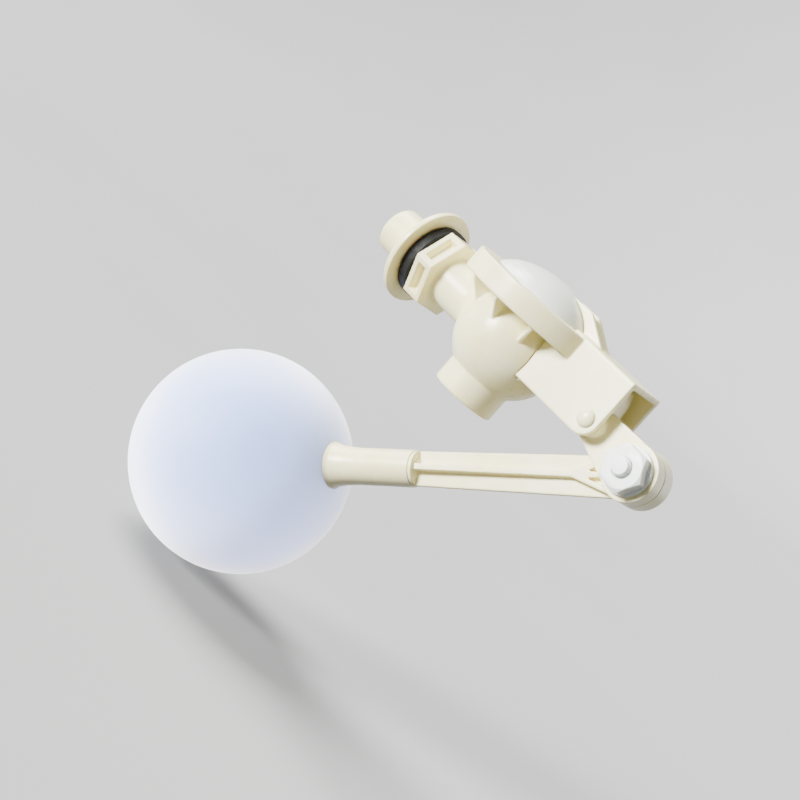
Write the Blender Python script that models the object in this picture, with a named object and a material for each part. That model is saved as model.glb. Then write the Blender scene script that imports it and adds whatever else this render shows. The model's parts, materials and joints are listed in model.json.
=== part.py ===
"""Plastic float valve with a diaphragm body, a pilot lever and a ball on an arm.

Frame: the origin is on the inlet axis at the hexagon's wall face. +X runs along the inlet from the
tank wall into the tank, +Z is the dome side and the outlet spout points down -Z. Every hinge is along Y.
"""

import math

import bmesh
import bpy
from mathutils import Matrix, Vector

MM = 0.001
GAP = 0.3 * MM  # clearance between pieces that touch
WELD = 0.001 * MM  # corners closer than this become one after a boolean

# Inlet side, along X from the wall face at x = 0
HEX_R = 17.5 * MM
HEX_LEN = 9.7 * MM
HEX_POCKET_DEPTH = 3.2 * MM
HEX_POCKET_FRAME = 2.4 * MM
THREAD_R = 8.5 * MM
THREAD_LEN = 8.4 * MM
INLET_BORE_R = 6.5 * MM
NECK_R = 10.6 * MM
NECK_BORE_R = 6.9 * MM
FLANGE_R = 21.3 * MM
FLANGE_LEN = 3.1 * MM
GASKET_R = 16.4 * MM
GASKET_LEN = 5.3 * MM
SPIGOT_R = 10.2 * MM
SPIGOT_END_X = -27.8 * MM
SPIGOT_ROUND = 1.6 * MM
STRAINER_X = (4.0 * MM, 5.6 * MM)
STRAINER_HOLE_R = 1.2 * MM
STRAINER_RING_R = 3.8 * MM

# Bowl, about the vertical axis at x = AXIS_X
AXIS_X = 50.2 * MM
BOWL_R = 23.4 * MM
BOWL_Z = -0.8 * MM
BOWL_WALL = 3.2 * MM
SPOUT_R = 13.9 * MM
SPOUT_BORE_R = 11.2 * MM
SPOUT_END_Z = -30.4 * MM
SPOUT_STEP_Z = -20.1 * MM
THROAT_R = 7.8 * MM
THROAT_OUTER_R = 10.0 * MM
THROAT_TOP_Z = 9.0 * MM
BOWL_FLOOR_Z = -17.7 * MM
BODY_RIM_R = 31.1 * MM
BODY_RIM_BORE_R = 16.4 * MM
BODY_RIM_Z = (11.0 * MM, 13.4 * MM)
GUSSET_AZIMUTHS = (54, 90, 126, 234, 270, 306)
GUSSET_R = 30.6 * MM
GUSSET_HEIGHT = 7.8 * MM
GUSSET_THICK = 1.5 * MM

# Diaphragm stack between the body rim and the ring
SEAT_TOP_Z = 10.8 * MM
PAD_R = 11.0 * MM
PAD_Z = (11.1 * MM, 12.9 * MM)
LIFT_DISC_R = 12.6 * MM
LIFT_DISC_Z = (13.2 * MM, 16.0 * MM)
LIFT_STEM_R = 3.0 * MM
LIFT_STEM_RISE = 2.6 * MM
MEMBRANE_Z = (13.7 * MM, 14.5 * MM)
FOLD_R = (15.0 * MM, 18.2 * MM)
FOLD_RISE = 1.2 * MM
BLEED_R = 0.8 * MM
BLEED_OFFSET = 9.6 * MM

# Dome, ring and channel bracket
DOME_BASE_R = 24.4 * MM
DOME_RISE = 10.0 * MM
DOME_SHOULDER = 1.4  # 1 gives a half ellipse, 2 a parabola
DOME_WALL = 2.0 * MM
DOME_FLANGE_Z = (14.8 * MM, 16.6 * MM)
RING_R = 34.0 * MM
RING_Z = (11.0 * MM, 20.7 * MM)
RING_SKIRT_R = 31.5 * MM
RING_SHELF_Z = 16.9 * MM
CHANNEL_HALF = 12.8 * MM
CHANNEL_WALL = 2.5 * MM
CHANNEL_TOP_Z = 21.8 * MM
CHANNEL_BOTTOM_Z = -7.5 * MM
CHANNEL_X = (69.0 * MM, 110.7 * MM)
CHANNEL_CORNER_R = 7.2 * MM
WEB_X = 76.0 * MM
HUMP_HALF = 4.3 * MM
HUMP_TOP_Z = 29.7 * MM
HUMP_X = (71.6 * MM, 85.3 * MM)
HUMP_RIB = 1.9 * MM
HUMP_RECESS = 1.4 * MM
HUMP_BACK_X = 57.2 * MM

# Pilot passage, nozzle and lever
PIVOT = Vector((104.7, 0.0, -0.25)) * MM
PIN_R = 2.0 * MM
PIN_HOLE_R = 2.3 * MM
PIN_HEAD_R = 3.8 * MM
PIN_HEAD_RISE = 1.9 * MM
PILOT_Z = 13.5 * MM
PILOT_BORE_R = 0.8 * MM
PASSAGE_Z = 18.8 * MM
PASSAGE_X = 87.5 * MM
BOSS_X = (80.0 * MM, 91.0 * MM)
BOSS_HALF = 4.6 * MM
BOSS_BOTTOM_Z = 9.0 * MM
NOZZLE_HOLE_R = 2.2 * MM
NOZZLE_HOLE_X = 88.3 * MM
NOZZLE_TIP_X = 95.9 * MM
NOZZLE_TIP_R = 1.5 * MM
NOZZLE_COLLAR_R = 3.0 * MM
NOZZLE_COLLAR_LEN = 2.0 * MM
PILOT_PAD_R = 3.2 * MM
PILOT_PAD_X = (96.2 * MM, 98.4 * MM)
CRANK_X = (98.7 * MM, 106.4 * MM)
CRANK_HALF = 4.5 * MM
CRANK_TOP_Z = 17.3 * MM
HUB_R = 6.0 * MM
HUB_HALF = 9.9 * MM
EYE = Vector((130.2, 0.0, -4.0)) * MM
EYE_R = 11.8 * MM
EYE_HOLE_R = 4.35 * MM
LEVER_EYE_Y = (-6.6 * MM, -0.15 * MM)
LEVER_NECK_Y = (-5.2 * MM, -0.15 * MM)
LEVER_NECK_R = 7.4 * MM

# Float arm, in its own frame: X from the eye to the ball, Y across the plate
ARM_DROP = math.radians(38.3)  # below -X at rest
ARM_LENGTH = 182.5 * MM  # eye centre to ball centre
ARM_EYE_Y = (0.15 * MM, 8.0 * MM)
ARM_MID_Y = 4.0 * MM
ARM_END_X = 97.2 * MM
ARM_PLATE_THICK = 2.2 * MM
ARM_HALF_WIDTH = (8.3 * MM, 7.1 * MM)  # at the eye end and at the socket
RIDGE_HALF_WIDTH = 1.3 * MM
FORK_X = 27.0 * MM
FORK_HALF = 8.2 * MM
TENON_R = 4.4 * MM
TENON_LEN = 18.0 * MM
SOCKET_R = 7.6 * MM
SOCKET_FLARE_R = 10.6 * MM
# (wider than the sleeve, distance before the ball)
FLARE_STEPS = ((0, 13 * MM), (0.4 * MM, 8.5 * MM), (1.1 * MM, 4.6 * MM), (2.0 * MM, 1.8 * MM))
PLUG_R = 5.0 * MM
PLUG_DEPTH = 7.0 * MM
BALL_R = 47.5 * MM
BALL_WALL = 1.6 * MM

# Clamp bolt (M8) and nut, along Y at the eye
COLLAR_SIDE = 12.0 * MM
COLLAR_POCKET = 12.7 * MM
COLLAR_Y = (5.0 * MM, 8.3 * MM)
BOLT_HEAD_R = 8.75 * MM
BOLT_HEAD_Y = (8.3 * MM, 11.3 * MM)
BOLT_END_Y = -16.0 * MM
BOLT_R = 4.0 * MM
NUT_WASHER_R = 10.0 * MM
NUT_WASHER_Y = (-8.4 * MM, -6.9 * MM)
NUT_HEX_R = 9.8 * MM
NUT_END_Y = -13.9 * MM

CREAM = (0.86, 0.83, 0.72)
MATERIALS = {
    "cream_plastic": (CREAM, 0.38),
    "dome_plastic": ((0.84, 0.85, 0.83), 0.25),
    "ball_plastic": ((0.86, 0.91, 0.96), 0.22),
    "black_rubber": ((0.02, 0.02, 0.022), 0.75),
    "nut_plastic": ((0.90, 0.90, 0.87), 0.4),
}


def material(name):
    """The shared Principled material of that name, made the first time it is asked for."""
    if name in bpy.data.materials:
        return bpy.data.materials[name]
    colour, roughness = MATERIALS[name]
    made = bpy.data.materials.new(name)
    made.use_nodes = True
    shader = made.node_tree.nodes["Principled BSDF"]
    shader.inputs["Base Color"].default_value = (*colour, 1.0)
    shader.inputs["Roughness"].default_value = roughness
    shader.inputs["Metallic"].default_value = 0.0
    return made


def to_object(mesh_data, name):
    """A new object from a bmesh, with its faces pointing out."""
    bmesh.ops.recalc_face_normals(mesh_data, faces=mesh_data.faces)
    mesh = bpy.data.meshes.new(name)
    mesh_data.to_mesh(mesh)
    mesh_data.free()
    obj = bpy.data.objects.new(name, mesh)
    bpy.context.scene.collection.objects.link(obj)
    return obj


def along(axis, height, a, b):
    """The point at that height along axis, with a and b across it."""
    if axis == "X":
        return (height, a, b)
    if axis == "Y":
        return (b, height, a)
    return (a, b, height)


def lathe(name, profile, axis="Z", centre=(0, 0, 0), segments=32):
    """A closed (radius, height) outline turned about an axis through centre."""
    turned = bmesh.new()
    rings = []
    for radius, height in profile:
        if radius < 1e-9:
            rings.append([turned.verts.new(along(axis, height, 0, 0))])
            continue
        ring = []
        for step in range(segments):
            turn = 2 * math.pi * step / segments
            across = (radius * math.cos(turn), radius * math.sin(turn))
            ring.append(turned.verts.new(along(axis, height, *across)))
        rings.append(ring)
    for first, second in zip(rings, rings[1:] + rings[:1]):
        for step in range(segments):
            after = (step + 1) % segments
            corners = [
                first[step % len(first)],
                first[after % len(first)],
                second[after % len(second)],
                second[step % len(second)],
            ]
            corners = list(dict.fromkeys(corners))
            if len(corners) > 2:
                turned.faces.new(corners)
    bmesh.ops.translate(turned, verts=turned.verts, vec=centre)
    return to_object(turned, name)


def prism(name, outline, axis, low, high):
    """A flat outline extruded along an axis. The outline is (x, z) for Y, (x, y) for Z and (y, z) for X."""
    solid = bmesh.new()
    ends = []
    for height in (low, high):
        if axis == "Y":
            points = [(a, height, b) for a, b in outline]
        elif axis == "Z":
            points = [(a, b, height) for a, b in outline]
        else:
            points = [(height, a, b) for a, b in outline]
        ends.append([solid.verts.new(point) for point in points])
    count = len(outline)
    for i in range(count):
        j = (i + 1) % count
        solid.faces.new((ends[0][i], ends[0][j], ends[1][j], ends[1][i]))
    solid.faces.new(ends[0])
    solid.faces.new(ends[1])
    return to_object(solid, name)


def box(name, x, y, z):
    """A block from (low, high) pairs."""
    return prism(name, [(x[0], y[0]), (x[1], y[0]), (x[1], y[1]), (x[0], y[1])], "Z", *z)


def rod(name, radius, axis, low, high, centre=(0, 0, 0), segments=24):
    """A plain round bar from low to high, measured from centre along axis."""
    circle = arc((0, 0), radius, 0, 360 * (segments - 1) / segments, segments - 1)
    bar = prism(name, circle, axis, low, high)
    bar.data.transform(Matrix.Translation(centre))
    return bar


def combine(target, other, operation):
    """Adds, cuts or intersects other with target, and removes other."""
    modifier = target.modifiers.new("combine", "BOOLEAN")
    modifier.operation = operation
    modifier.solver = "EXACT"
    modifier.object = other
    graph = bpy.context.evaluated_depsgraph_get()
    result = bpy.data.meshes.new_from_object(target.evaluated_get(graph))
    welded = bmesh.new()
    welded.from_mesh(result)
    bmesh.ops.remove_doubles(welded, verts=welded.verts, dist=WELD)
    welded.to_mesh(result)
    welded.free()
    target.modifiers.clear()
    target.data = result
    bpy.data.objects.remove(other)
    return target


def add(target, other):
    return combine(target, other, "UNION")


def cut(target, other):
    return combine(target, other, "DIFFERENCE")


def arc(centre, radius, start, stop, steps):
    """Points on a circle from one angle to another, in degrees, both ends included."""
    points = []
    for step in range(steps + 1):
        turn = math.radians(start + (stop - start) * step / steps)
        points.append((centre[0] + radius * math.cos(turn), centre[1] + radius * math.sin(turn)))
    return points


def racket(small, small_r, large, large_r, steps):
    """The outline of two circles joined by their outer tangents, in the plane that holds them."""
    along_x, along_z = large[0] - small[0], large[1] - small[1]
    span = math.hypot(along_x, along_z)
    heading = math.degrees(math.atan2(along_z, along_x))
    lean = math.degrees(math.acos((small_r - large_r) / span))
    far = arc(large, large_r, heading - lean, heading + lean, steps)
    near = arc(small, small_r, heading + lean, heading + 360 - lean, steps)
    return far + near


def finish(obj, name, finish_name, location=None):
    """Names a piece, gives it its material and smooth shading, and puts its origin at location."""
    obj.name = name
    obj.data.name = name
    obj.data.materials.clear()
    obj.data.materials.append(material(finish_name))
    obj.data.shade_smooth()
    obj.data.set_sharp_from_angle(angle=math.radians(35))
    if location is not None:
        obj.data.transform(Matrix.Translation(-Vector(location)))
        obj.location = location
    return obj


def inlet_connector():
    """Spigot with a round flange, and the shank that screws into the hexagon."""
    flange_back = -GAP - GASKET_LEN - GAP
    flange_front = flange_back - FLANGE_LEN
    chamfer = 0.6 * MM
    rounded = 1.1 * MM
    profile = [(INLET_BORE_R, SPIGOT_END_X)]
    tip = (SPIGOT_R - SPIGOT_ROUND, SPIGOT_END_X + SPIGOT_ROUND)
    for step in range(4):
        turn = math.radians(90 * step / 3)
        profile.append((tip[0] + SPIGOT_ROUND * math.sin(turn), tip[1] - SPIGOT_ROUND * math.cos(turn)))
    profile.append((SPIGOT_R, flange_front))
    for turn in (90, 60, 30, 0):
        lean = math.radians(turn)
        rim_r = FLANGE_R - rounded + rounded * math.cos(lean)
        profile.append((rim_r, flange_front + rounded - rounded * math.sin(lean)))
    profile += [
        (FLANGE_R, flange_back - chamfer),
        (FLANGE_R - chamfer, flange_back),
        (THREAD_R, flange_back),
        (THREAD_R, THREAD_LEN - chamfer),
        (THREAD_R - chamfer, THREAD_LEN),
        (INLET_BORE_R, THREAD_LEN),
    ]
    return finish(lathe("c", profile, "X", segments=40), "inlet_connector", "cream_plastic")


def flange_gasket():
    low, high = -GAP - GASKET_LEN, -GAP
    soft = 0.7 * MM
    bore = THREAD_R + GAP
    profile = [(bore, low), (GASKET_R - soft, low), (GASKET_R, low + soft), (GASKET_R, high - soft)]
    profile += [(GASKET_R - soft, high), (bore, high)]
    return finish(lathe("g", profile, "X", segments=40), "flange_gasket", "black_rubber")


def inlet_strainer():
    """A perforated disc inside the connector's bore."""
    front, back = STRAINER_X
    disc = rod("s", INLET_BORE_R - GAP, "X", front, back)
    holes = [(0, 0)] + arc((0, 0), STRAINER_RING_R, 0, 300, 5)
    for y, z in holes:
        cut(disc, rod("h", STRAINER_HOLE_R, "X", front - MM, back + MM, (0, y, z), 10))
    return finish(disc, "inlet_strainer", "cream_plastic")


def hexagon_with_pockets():
    """The wrench hexagon, with a pocket moulded into each flat."""
    corners = arc((0, 0), HEX_R, 0, 300, 5)
    block = prism("hex", corners, "X", 0, HEX_LEN)
    flat = HEX_R * math.cos(math.radians(30))
    half_side = HEX_R / 2 - HEX_POCKET_FRAME
    for side in range(6):
        pocket = box(
            "pocket",
            (HEX_POCKET_FRAME, HEX_LEN - HEX_POCKET_FRAME),
            (-half_side, half_side),
            (flat - HEX_POCKET_DEPTH, flat + MM),
        )
        pocket.data.transform(Matrix.Rotation(math.radians(60 * side), 4, "X"))
        cut(block, pocket)
    return block


def around_bowl(clearance):
    """A ball that stands that far clear of the bowl's outer face."""
    radius = BOWL_R + clearance
    profile = arc((0, BOWL_Z), radius, -90, 90, 24)
    profile[0], profile[-1] = (0, BOWL_Z - radius), (0, BOWL_Z + radius)
    return lathe("ball", profile, "Z", (AXIS_X, 0, 0), 40)


def inlet_neck():
    """The wrench hexagon and the tube from it to the bowl, the first part of the body moulding."""
    neck = hexagon_with_pockets()
    add(neck, rod("tube", NECK_R, "X", HEX_LEN - MM, AXIS_X - BOWL_R * 0.8, segments=32))
    cut(neck, around_bowl(GAP))
    cut(neck, rod("thread", THREAD_R + GAP, "X", -MM, THREAD_LEN + 0.8 * MM, segments=32))
    cut(neck, rod("bore", NECK_BORE_R, "X", 0, AXIS_X - BOWL_R * 0.7, segments=24))
    return finish(neck, "inlet_neck", "cream_plastic")


def valve_bowl():
    """The round bowl: a hole for the neck, a floor around the seat tube, room for the side plates."""
    spout_turn = -math.degrees(math.acos(SPOUT_R / BOWL_R))
    top = BODY_RIM_Z[0] - GAP
    slope = math.degrees(math.asin((top - BOWL_Z) / BOWL_R))
    inner_r = BOWL_R - BOWL_WALL
    inner_top = math.degrees(math.asin((top - BOWL_Z) / inner_r))
    inner_low = -math.degrees(math.acos((THROAT_OUTER_R + MM) / inner_r))
    profile = [(THROAT_R, SPOUT_STEP_Z), (SPOUT_R, SPOUT_STEP_Z)]
    profile += arc((0, BOWL_Z), BOWL_R, spout_turn, slope, 12)
    profile += arc((0, BOWL_Z), inner_r, inner_top, inner_low, 8)
    profile += [(THROAT_R, BOWL_FLOOR_Z)]
    bowl = lathe("bowl", profile, "Z", (AXIS_X, 0, 0), 40)
    cut(bowl, rod("hole", NECK_BORE_R, "X", AXIS_X - BOWL_R - MM, AXIS_X - THROAT_OUTER_R, segments=24))
    for side in (-1, 1):
        walls = sorted((side * (CHANNEL_HALF - CHANNEL_WALL - GAP), side * (CHANNEL_HALF + GAP)))
        slot_x = (CHANNEL_X[0] - GAP, CHANNEL_X[0] + 8 * MM)
        cut(bowl, box("slot", slot_x, walls, (CHANNEL_BOTTOM_Z - MM, top + MM)))
    return finish(bowl, "valve_bowl", "cream_plastic")


def gusset(azimuth):
    """One triangular rib under the rim, reaching in to the bowl."""
    top = BODY_RIM_Z[0] + 0.5 * MM
    low = BODY_RIM_Z[0] - GUSSET_HEIGHT
    root = BODY_RIM_BORE_R + MM
    outline = [(root, top), (root, low), (BOWL_R + MM, low)]
    outline += [(GUSSET_R, top - 1.6 * MM), (GUSSET_R, top)]
    rib = prism("rib", outline, "Y", -GUSSET_THICK / 2, GUSSET_THICK / 2)
    rib.data.transform(Matrix.Rotation(math.radians(azimuth), 4, "Z"))
    rib.data.transform(Matrix.Translation((AXIS_X, 0, 0)))
    return cut(rib, around_bowl(GAP))


def body_rim():
    """The flat ring that the diaphragm seals on, with the gussets below it."""
    low, high = BODY_RIM_Z
    profile = [(BODY_RIM_BORE_R, low), (BODY_RIM_R, low), (BODY_RIM_R, high), (BODY_RIM_BORE_R, high)]
    rim = lathe("rim", profile, "Z", (AXIS_X, 0, 0), 40)
    for azimuth in GUSSET_AZIMUTHS:
        add(rim, gusset(azimuth))
    return finish(rim, "body_rim", "cream_plastic")


def seat_tube():
    """The tube inside the bowl that carries the seat ring."""
    low = BOWL_FLOOR_Z + GAP
    profile = [(THROAT_R, low), (THROAT_OUTER_R, low)]
    profile += [(THROAT_OUTER_R, THROAT_TOP_Z), (THROAT_R, THROAT_TOP_Z)]
    return finish(lathe("tube", profile, "Z", (AXIS_X, 0, 0), 28), "seat_tube", "cream_plastic")


def outlet_spout():
    rounded = 0.5 * MM
    top = SPOUT_STEP_Z - GAP
    profile = [(SPOUT_BORE_R, SPOUT_END_Z), (SPOUT_R - rounded, SPOUT_END_Z)]
    profile += [(SPOUT_R, SPOUT_END_Z + rounded), (SPOUT_R, top), (SPOUT_BORE_R, top)]
    return finish(lathe("spout", profile, "Z", (AXIS_X, 0, 0), 40), "outlet_spout", "cream_plastic")


def seat_ring():
    low = THROAT_TOP_Z + GAP
    profile = [(THROAT_R, low), (THROAT_OUTER_R, low), (THROAT_OUTER_R - 0.6 * MM, SEAT_TOP_Z)]
    profile += [(THROAT_R + 0.6 * MM, SEAT_TOP_Z)]
    return finish(lathe("seat", profile, "Z", (AXIS_X, 0, 0), 24), "seat_ring", "nut_plastic")


def diaphragm_membrane():
    """The clamped rubber ring, with one rolled fold between its rim and the lifting disc."""
    low, high = MEMBRANE_Z
    inner = LIFT_DISC_R + GAP
    fold_low, fold_high = FOLD_R
    middle = (fold_low + fold_high) / 2
    upper = [(inner, high), (fold_low, high), (middle, high + FOLD_RISE)]
    upper += [(fold_high, high), (BODY_RIM_R, high)]
    lower = [(BODY_RIM_R, low), (fold_high, low), (middle, low + FOLD_RISE)]
    lower += [(fold_low, low), (inner, low)]
    obj = lathe("m", upper + lower, "Z", (AXIS_X, 0, 0), 32)
    return finish(obj, "diaphragm_membrane", "black_rubber")


def main_seal_pad():
    low, high = PAD_Z
    profile = [(0, low), (PAD_R - 0.5 * MM, low), (PAD_R, low + 0.5 * MM), (PAD_R, high), (0, high)]
    pad = lathe("p", profile, "Z", (AXIS_X, 0, 0), 24)
    cut(pad, rod("h", BLEED_R, "Z", low - MM, high + MM, (AXIS_X, BLEED_OFFSET, 0), 10))
    return finish(pad, "main_seal_pad", "black_rubber", (AXIS_X, 0, 0))


def diaphragm_disc():
    low, high = LIFT_DISC_Z
    stem_top = high + LIFT_STEM_RISE
    profile = [(0, low), (LIFT_DISC_R, low), (LIFT_DISC_R, high), (LIFT_STEM_R, high)]
    profile += [(LIFT_STEM_R, stem_top), (0, stem_top)]
    disc = lathe("d", profile, "Z", (AXIS_X, 0, 0), 24)
    cut(disc, rod("h", BLEED_R, "Z", low - MM, high + MM, (AXIS_X, BLEED_OFFSET, 0), 10))
    return finish(disc, "diaphragm_disc", "cream_plastic", (AXIS_X, 0, 0))


def dome_curve(base_r, rise, steps=8):
    """The dome's (radius, height) outline from its foot up to the middle."""
    points = []
    for step in range(steps):
        turn = math.radians(90 * step / steps)
        points.append((base_r * math.cos(turn), RING_Z[1] + rise * math.sin(turn) ** DOME_SHOULDER))
    return points + [(0, RING_Z[1] + rise)]


def dome_cap():
    inner_r = DOME_BASE_R - DOME_WALL - 0.4 * MM
    low, high = DOME_FLANGE_Z
    profile = [(inner_r, low), (BODY_RIM_R, low), (BODY_RIM_R, high), (DOME_BASE_R, high)]
    profile += dome_curve(DOME_BASE_R, DOME_RISE)
    profile += dome_curve(inner_r, DOME_RISE - DOME_WALL)[::-1]
    dome = lathe("dome", profile, "Z", (AXIS_X, 0, 0), 40)
    wall_x = AXIS_X + DOME_BASE_R
    cut(dome, rod("p", PILOT_BORE_R, "X", wall_x - 6 * MM, wall_x + 2 * MM, (0, 0, PASSAGE_Z), 10))
    return finish(dome, "dome_cap", "dome_plastic")


def hump():
    """The block over the pilot passage: two ribs with a recess between them, sloping down to the web."""
    base = RING_Z[1] - 0.6 * MM
    front, toe = HUMP_X
    outline = [(HUMP_BACK_X, base), (toe + 0.8 * MM, base), (toe, CHANNEL_TOP_Z)]
    outline += [(front, HUMP_TOP_Z), (HUMP_BACK_X, HUMP_TOP_Z)]
    block = prism("hump", outline, "Y", -HUMP_HALF, HUMP_HALF)
    floor = HUMP_TOP_Z - HUMP_RECESS
    sky = HUMP_TOP_Z + 5 * MM
    recess = [(HUMP_BACK_X - MM, sky), (HUMP_BACK_X - MM, floor), (front, floor)]
    recess += [(toe - 2 * MM, CHANNEL_TOP_Z - 0.2 * MM)]
    recess += [(toe + 3 * MM, CHANNEL_TOP_Z + GAP), (toe + 3 * MM, sky)]
    inside = HUMP_HALF - HUMP_RIB
    cut(block, prism("recess", recess, "Y", -inside, inside))
    clear_r = DOME_BASE_R + 1.2 * GAP
    clear = [(0, base - MM), (clear_r, base - MM)] + dome_curve(clear_r, DOME_RISE)
    return cut(block, lathe("clear", clear, "Z", (AXIS_X, 0, GAP), 40))


def channel():
    """The downward-open channel, with its end corners rounded around the pivot pin."""
    left, right = CHANNEL_X
    inside = CHANNEL_HALF - CHANNEL_WALL
    ceiling = CHANNEL_TOP_Z - CHANNEL_WALL
    section = [(-CHANNEL_HALF, CHANNEL_BOTTOM_Z), (-CHANNEL_HALF, CHANNEL_TOP_Z)]
    section += [(CHANNEL_HALF, CHANNEL_TOP_Z), (CHANNEL_HALF, CHANNEL_BOTTOM_Z)]
    section += [(inside, CHANNEL_BOTTOM_Z)]
    section += [(inside, ceiling), (-inside, ceiling), (-inside, CHANNEL_BOTTOM_Z)]
    piece = prism("channel", section, "X", left, right)
    corner = (right - CHANNEL_CORNER_R, CHANNEL_BOTTOM_Z + CHANNEL_CORNER_R)
    outside = arc(corner, CHANNEL_CORNER_R, -90, 0, 6)
    outside += [(right + MM, corner[1]), (right + MM, CHANNEL_BOTTOM_Z - MM)]
    outside += [(corner[0], CHANNEL_BOTTOM_Z - MM)]
    wide = CHANNEL_HALF + MM
    cut(piece, prism("corner", outside, "Y", -wide, wide))
    above = (RING_Z[1] - 1.3 * MM, CHANNEL_TOP_Z + MM)
    cut(piece, box("above", (left - MM, WEB_X), (-wide, wide), above))
    return cut(piece, rod("hole", PIN_HOLE_R, "Y", -wide, wide, PIVOT, 16))


def cover_bracket():
    """Ring, channel bracket, hump and pilot boss in one moulding."""
    bevel = 0.5 * MM
    low, high = RING_Z
    edge = [(RING_R - bevel, low), (RING_R, low + bevel), (RING_R, high - bevel), (RING_R - bevel, high)]
    cover = lathe("ring", [(0, low)] + edge + [(0, high)], "Z", (AXIS_X, 0, 0), 48)
    add(cover, channel())
    boss_top = CHANNEL_TOP_Z - CHANNEL_WALL + MM
    add(cover, box("boss", BOSS_X, (-BOSS_HALF, BOSS_HALF), (BOSS_BOTTOM_Z, boss_top)))
    dome_room = DOME_BASE_R + GAP
    room = [(0, BOSS_BOTTOM_Z - MM), (RING_SKIRT_R, BOSS_BOTTOM_Z - MM), (RING_SKIRT_R, RING_SHELF_Z)]
    room += [(dome_room, RING_SHELF_Z), (dome_room, CHANNEL_TOP_Z + MM), (0, CHANNEL_TOP_Z + MM)]
    rim_room = lathe("rim_room", room, "Z", (AXIS_X, 0, 0), 48)
    beside = (CHANNEL_X[0] - MM, AXIS_X + RING_R)
    cut(rim_room, box("plates", beside, (-RING_R, RING_R), (0, RING_Z[0] - GAP)))
    cut(cover, rim_room)
    add(cover, hump())
    dome_wall = AXIS_X + DOME_BASE_R - MM
    cut(cover, rod("passage", PILOT_BORE_R, "X", dome_wall, PASSAGE_X, (0, 0, PASSAGE_Z), 10))
    cut(cover, rod("drop", PILOT_BORE_R, "Z", PILOT_Z, PASSAGE_Z, (PASSAGE_X, 0, 0), 10))
    cut(cover, rod("nozzle", NOZZLE_HOLE_R, "X", PASSAGE_X - 0.4 * MM, BOSS_X[1] + MM, (0, 0, PILOT_Z), 16))
    return finish(cover, "cover_bracket", "cream_plastic")


def pilot_nozzle():
    outer = NOZZLE_HOLE_R - GAP
    bore = PILOT_BORE_R
    collar = BOSS_X[1] + GAP
    profile = [
        (bore, NOZZLE_HOLE_X),
        (outer, NOZZLE_HOLE_X),
        (outer, collar),
        (NOZZLE_COLLAR_R, collar),
        (NOZZLE_COLLAR_R, collar + NOZZLE_COLLAR_LEN),
        (NOZZLE_TIP_R, NOZZLE_TIP_X),
        (bore, NOZZLE_TIP_X),
    ]
    return finish(lathe("n", profile, "X", (0, 0, PILOT_Z), 16), "pilot_nozzle", "nut_plastic")


def pivot_pin():
    near = -CHANNEL_HALF - GAP
    tail = CHANNEL_HALF + 2.4 * MM
    profile = [(0, near - PIN_HEAD_RISE)]
    for turn in (math.radians(30), math.radians(60)):
        profile.append((PIN_HEAD_R * math.sin(turn), near - PIN_HEAD_RISE * math.cos(turn)))
    profile += [(PIN_HEAD_R, near), (PIN_R, near), (PIN_R, tail), (0, tail)]
    return finish(lathe("pin", profile, "Y", PIVOT, 24), "pivot_pin", "cream_plastic", PIVOT)


def pin_retainer():
    low = CHANNEL_HALF + GAP
    profile = [(PIN_R + GAP, low), (PIN_HEAD_R, low), (PIN_HEAD_R - 0.4 * MM, low + 1.5 * MM)]
    profile += [(PIN_R + GAP, low + 1.5 * MM)]
    return finish(lathe("r", profile, "Y", PIVOT, 24), "pin_retainer", "cream_plastic", PIVOT)


def lever():
    """Hub between the plates, a crank up to the pilot pad, and the neck out to the eye."""
    pivot, eye = (PIVOT.x, PIVOT.z), (EYE.x, EYE.z)
    piece = prism("neck", racket(pivot, LEVER_NECK_R, eye, EYE_R, 12), "Y", *LEVER_NECK_Y)
    add(piece, rod("boss", EYE_R + 0.05 * MM, "Y", LEVER_EYE_Y[0], LEVER_EYE_Y[1] + 0.02 * MM, EYE, 36))
    add(piece, rod("hub", HUB_R, "Y", -HUB_HALF, HUB_HALF, PIVOT, 24))
    front, back = CRANK_X
    crank = [(front, CRANK_TOP_Z - MM), (front, PILOT_Z - PILOT_PAD_R), (PIVOT.x - 3 * MM, PIVOT.z)]
    crank += [(PIVOT.x + 3 * MM, PIVOT.z), (back, CRANK_TOP_Z - 5 * MM)]
    crank += [(back - 2 * MM, CRANK_TOP_Z), (front + MM, CRANK_TOP_Z)]
    add(piece, prism("crank", crank, "Y", -CRANK_HALF, CRANK_HALF))
    cut(piece, rod("pin", PIN_HOLE_R, "Y", -HUB_HALF - MM, HUB_HALF + MM, PIVOT, 16))
    cut(piece, rod("hole", EYE_HOLE_R, "Y", LEVER_EYE_Y[0] - MM, LEVER_EYE_Y[1] + MM, EYE, 24))
    return finish(piece, "lever", "cream_plastic", PIVOT)


def pilot_pad():
    piece = rod("pad", PILOT_PAD_R, "X", *PILOT_PAD_X, centre=(0, 0, PILOT_Z), segments=16)
    return finish(piece, "pilot_pad", "black_rubber", PIVOT)


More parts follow.
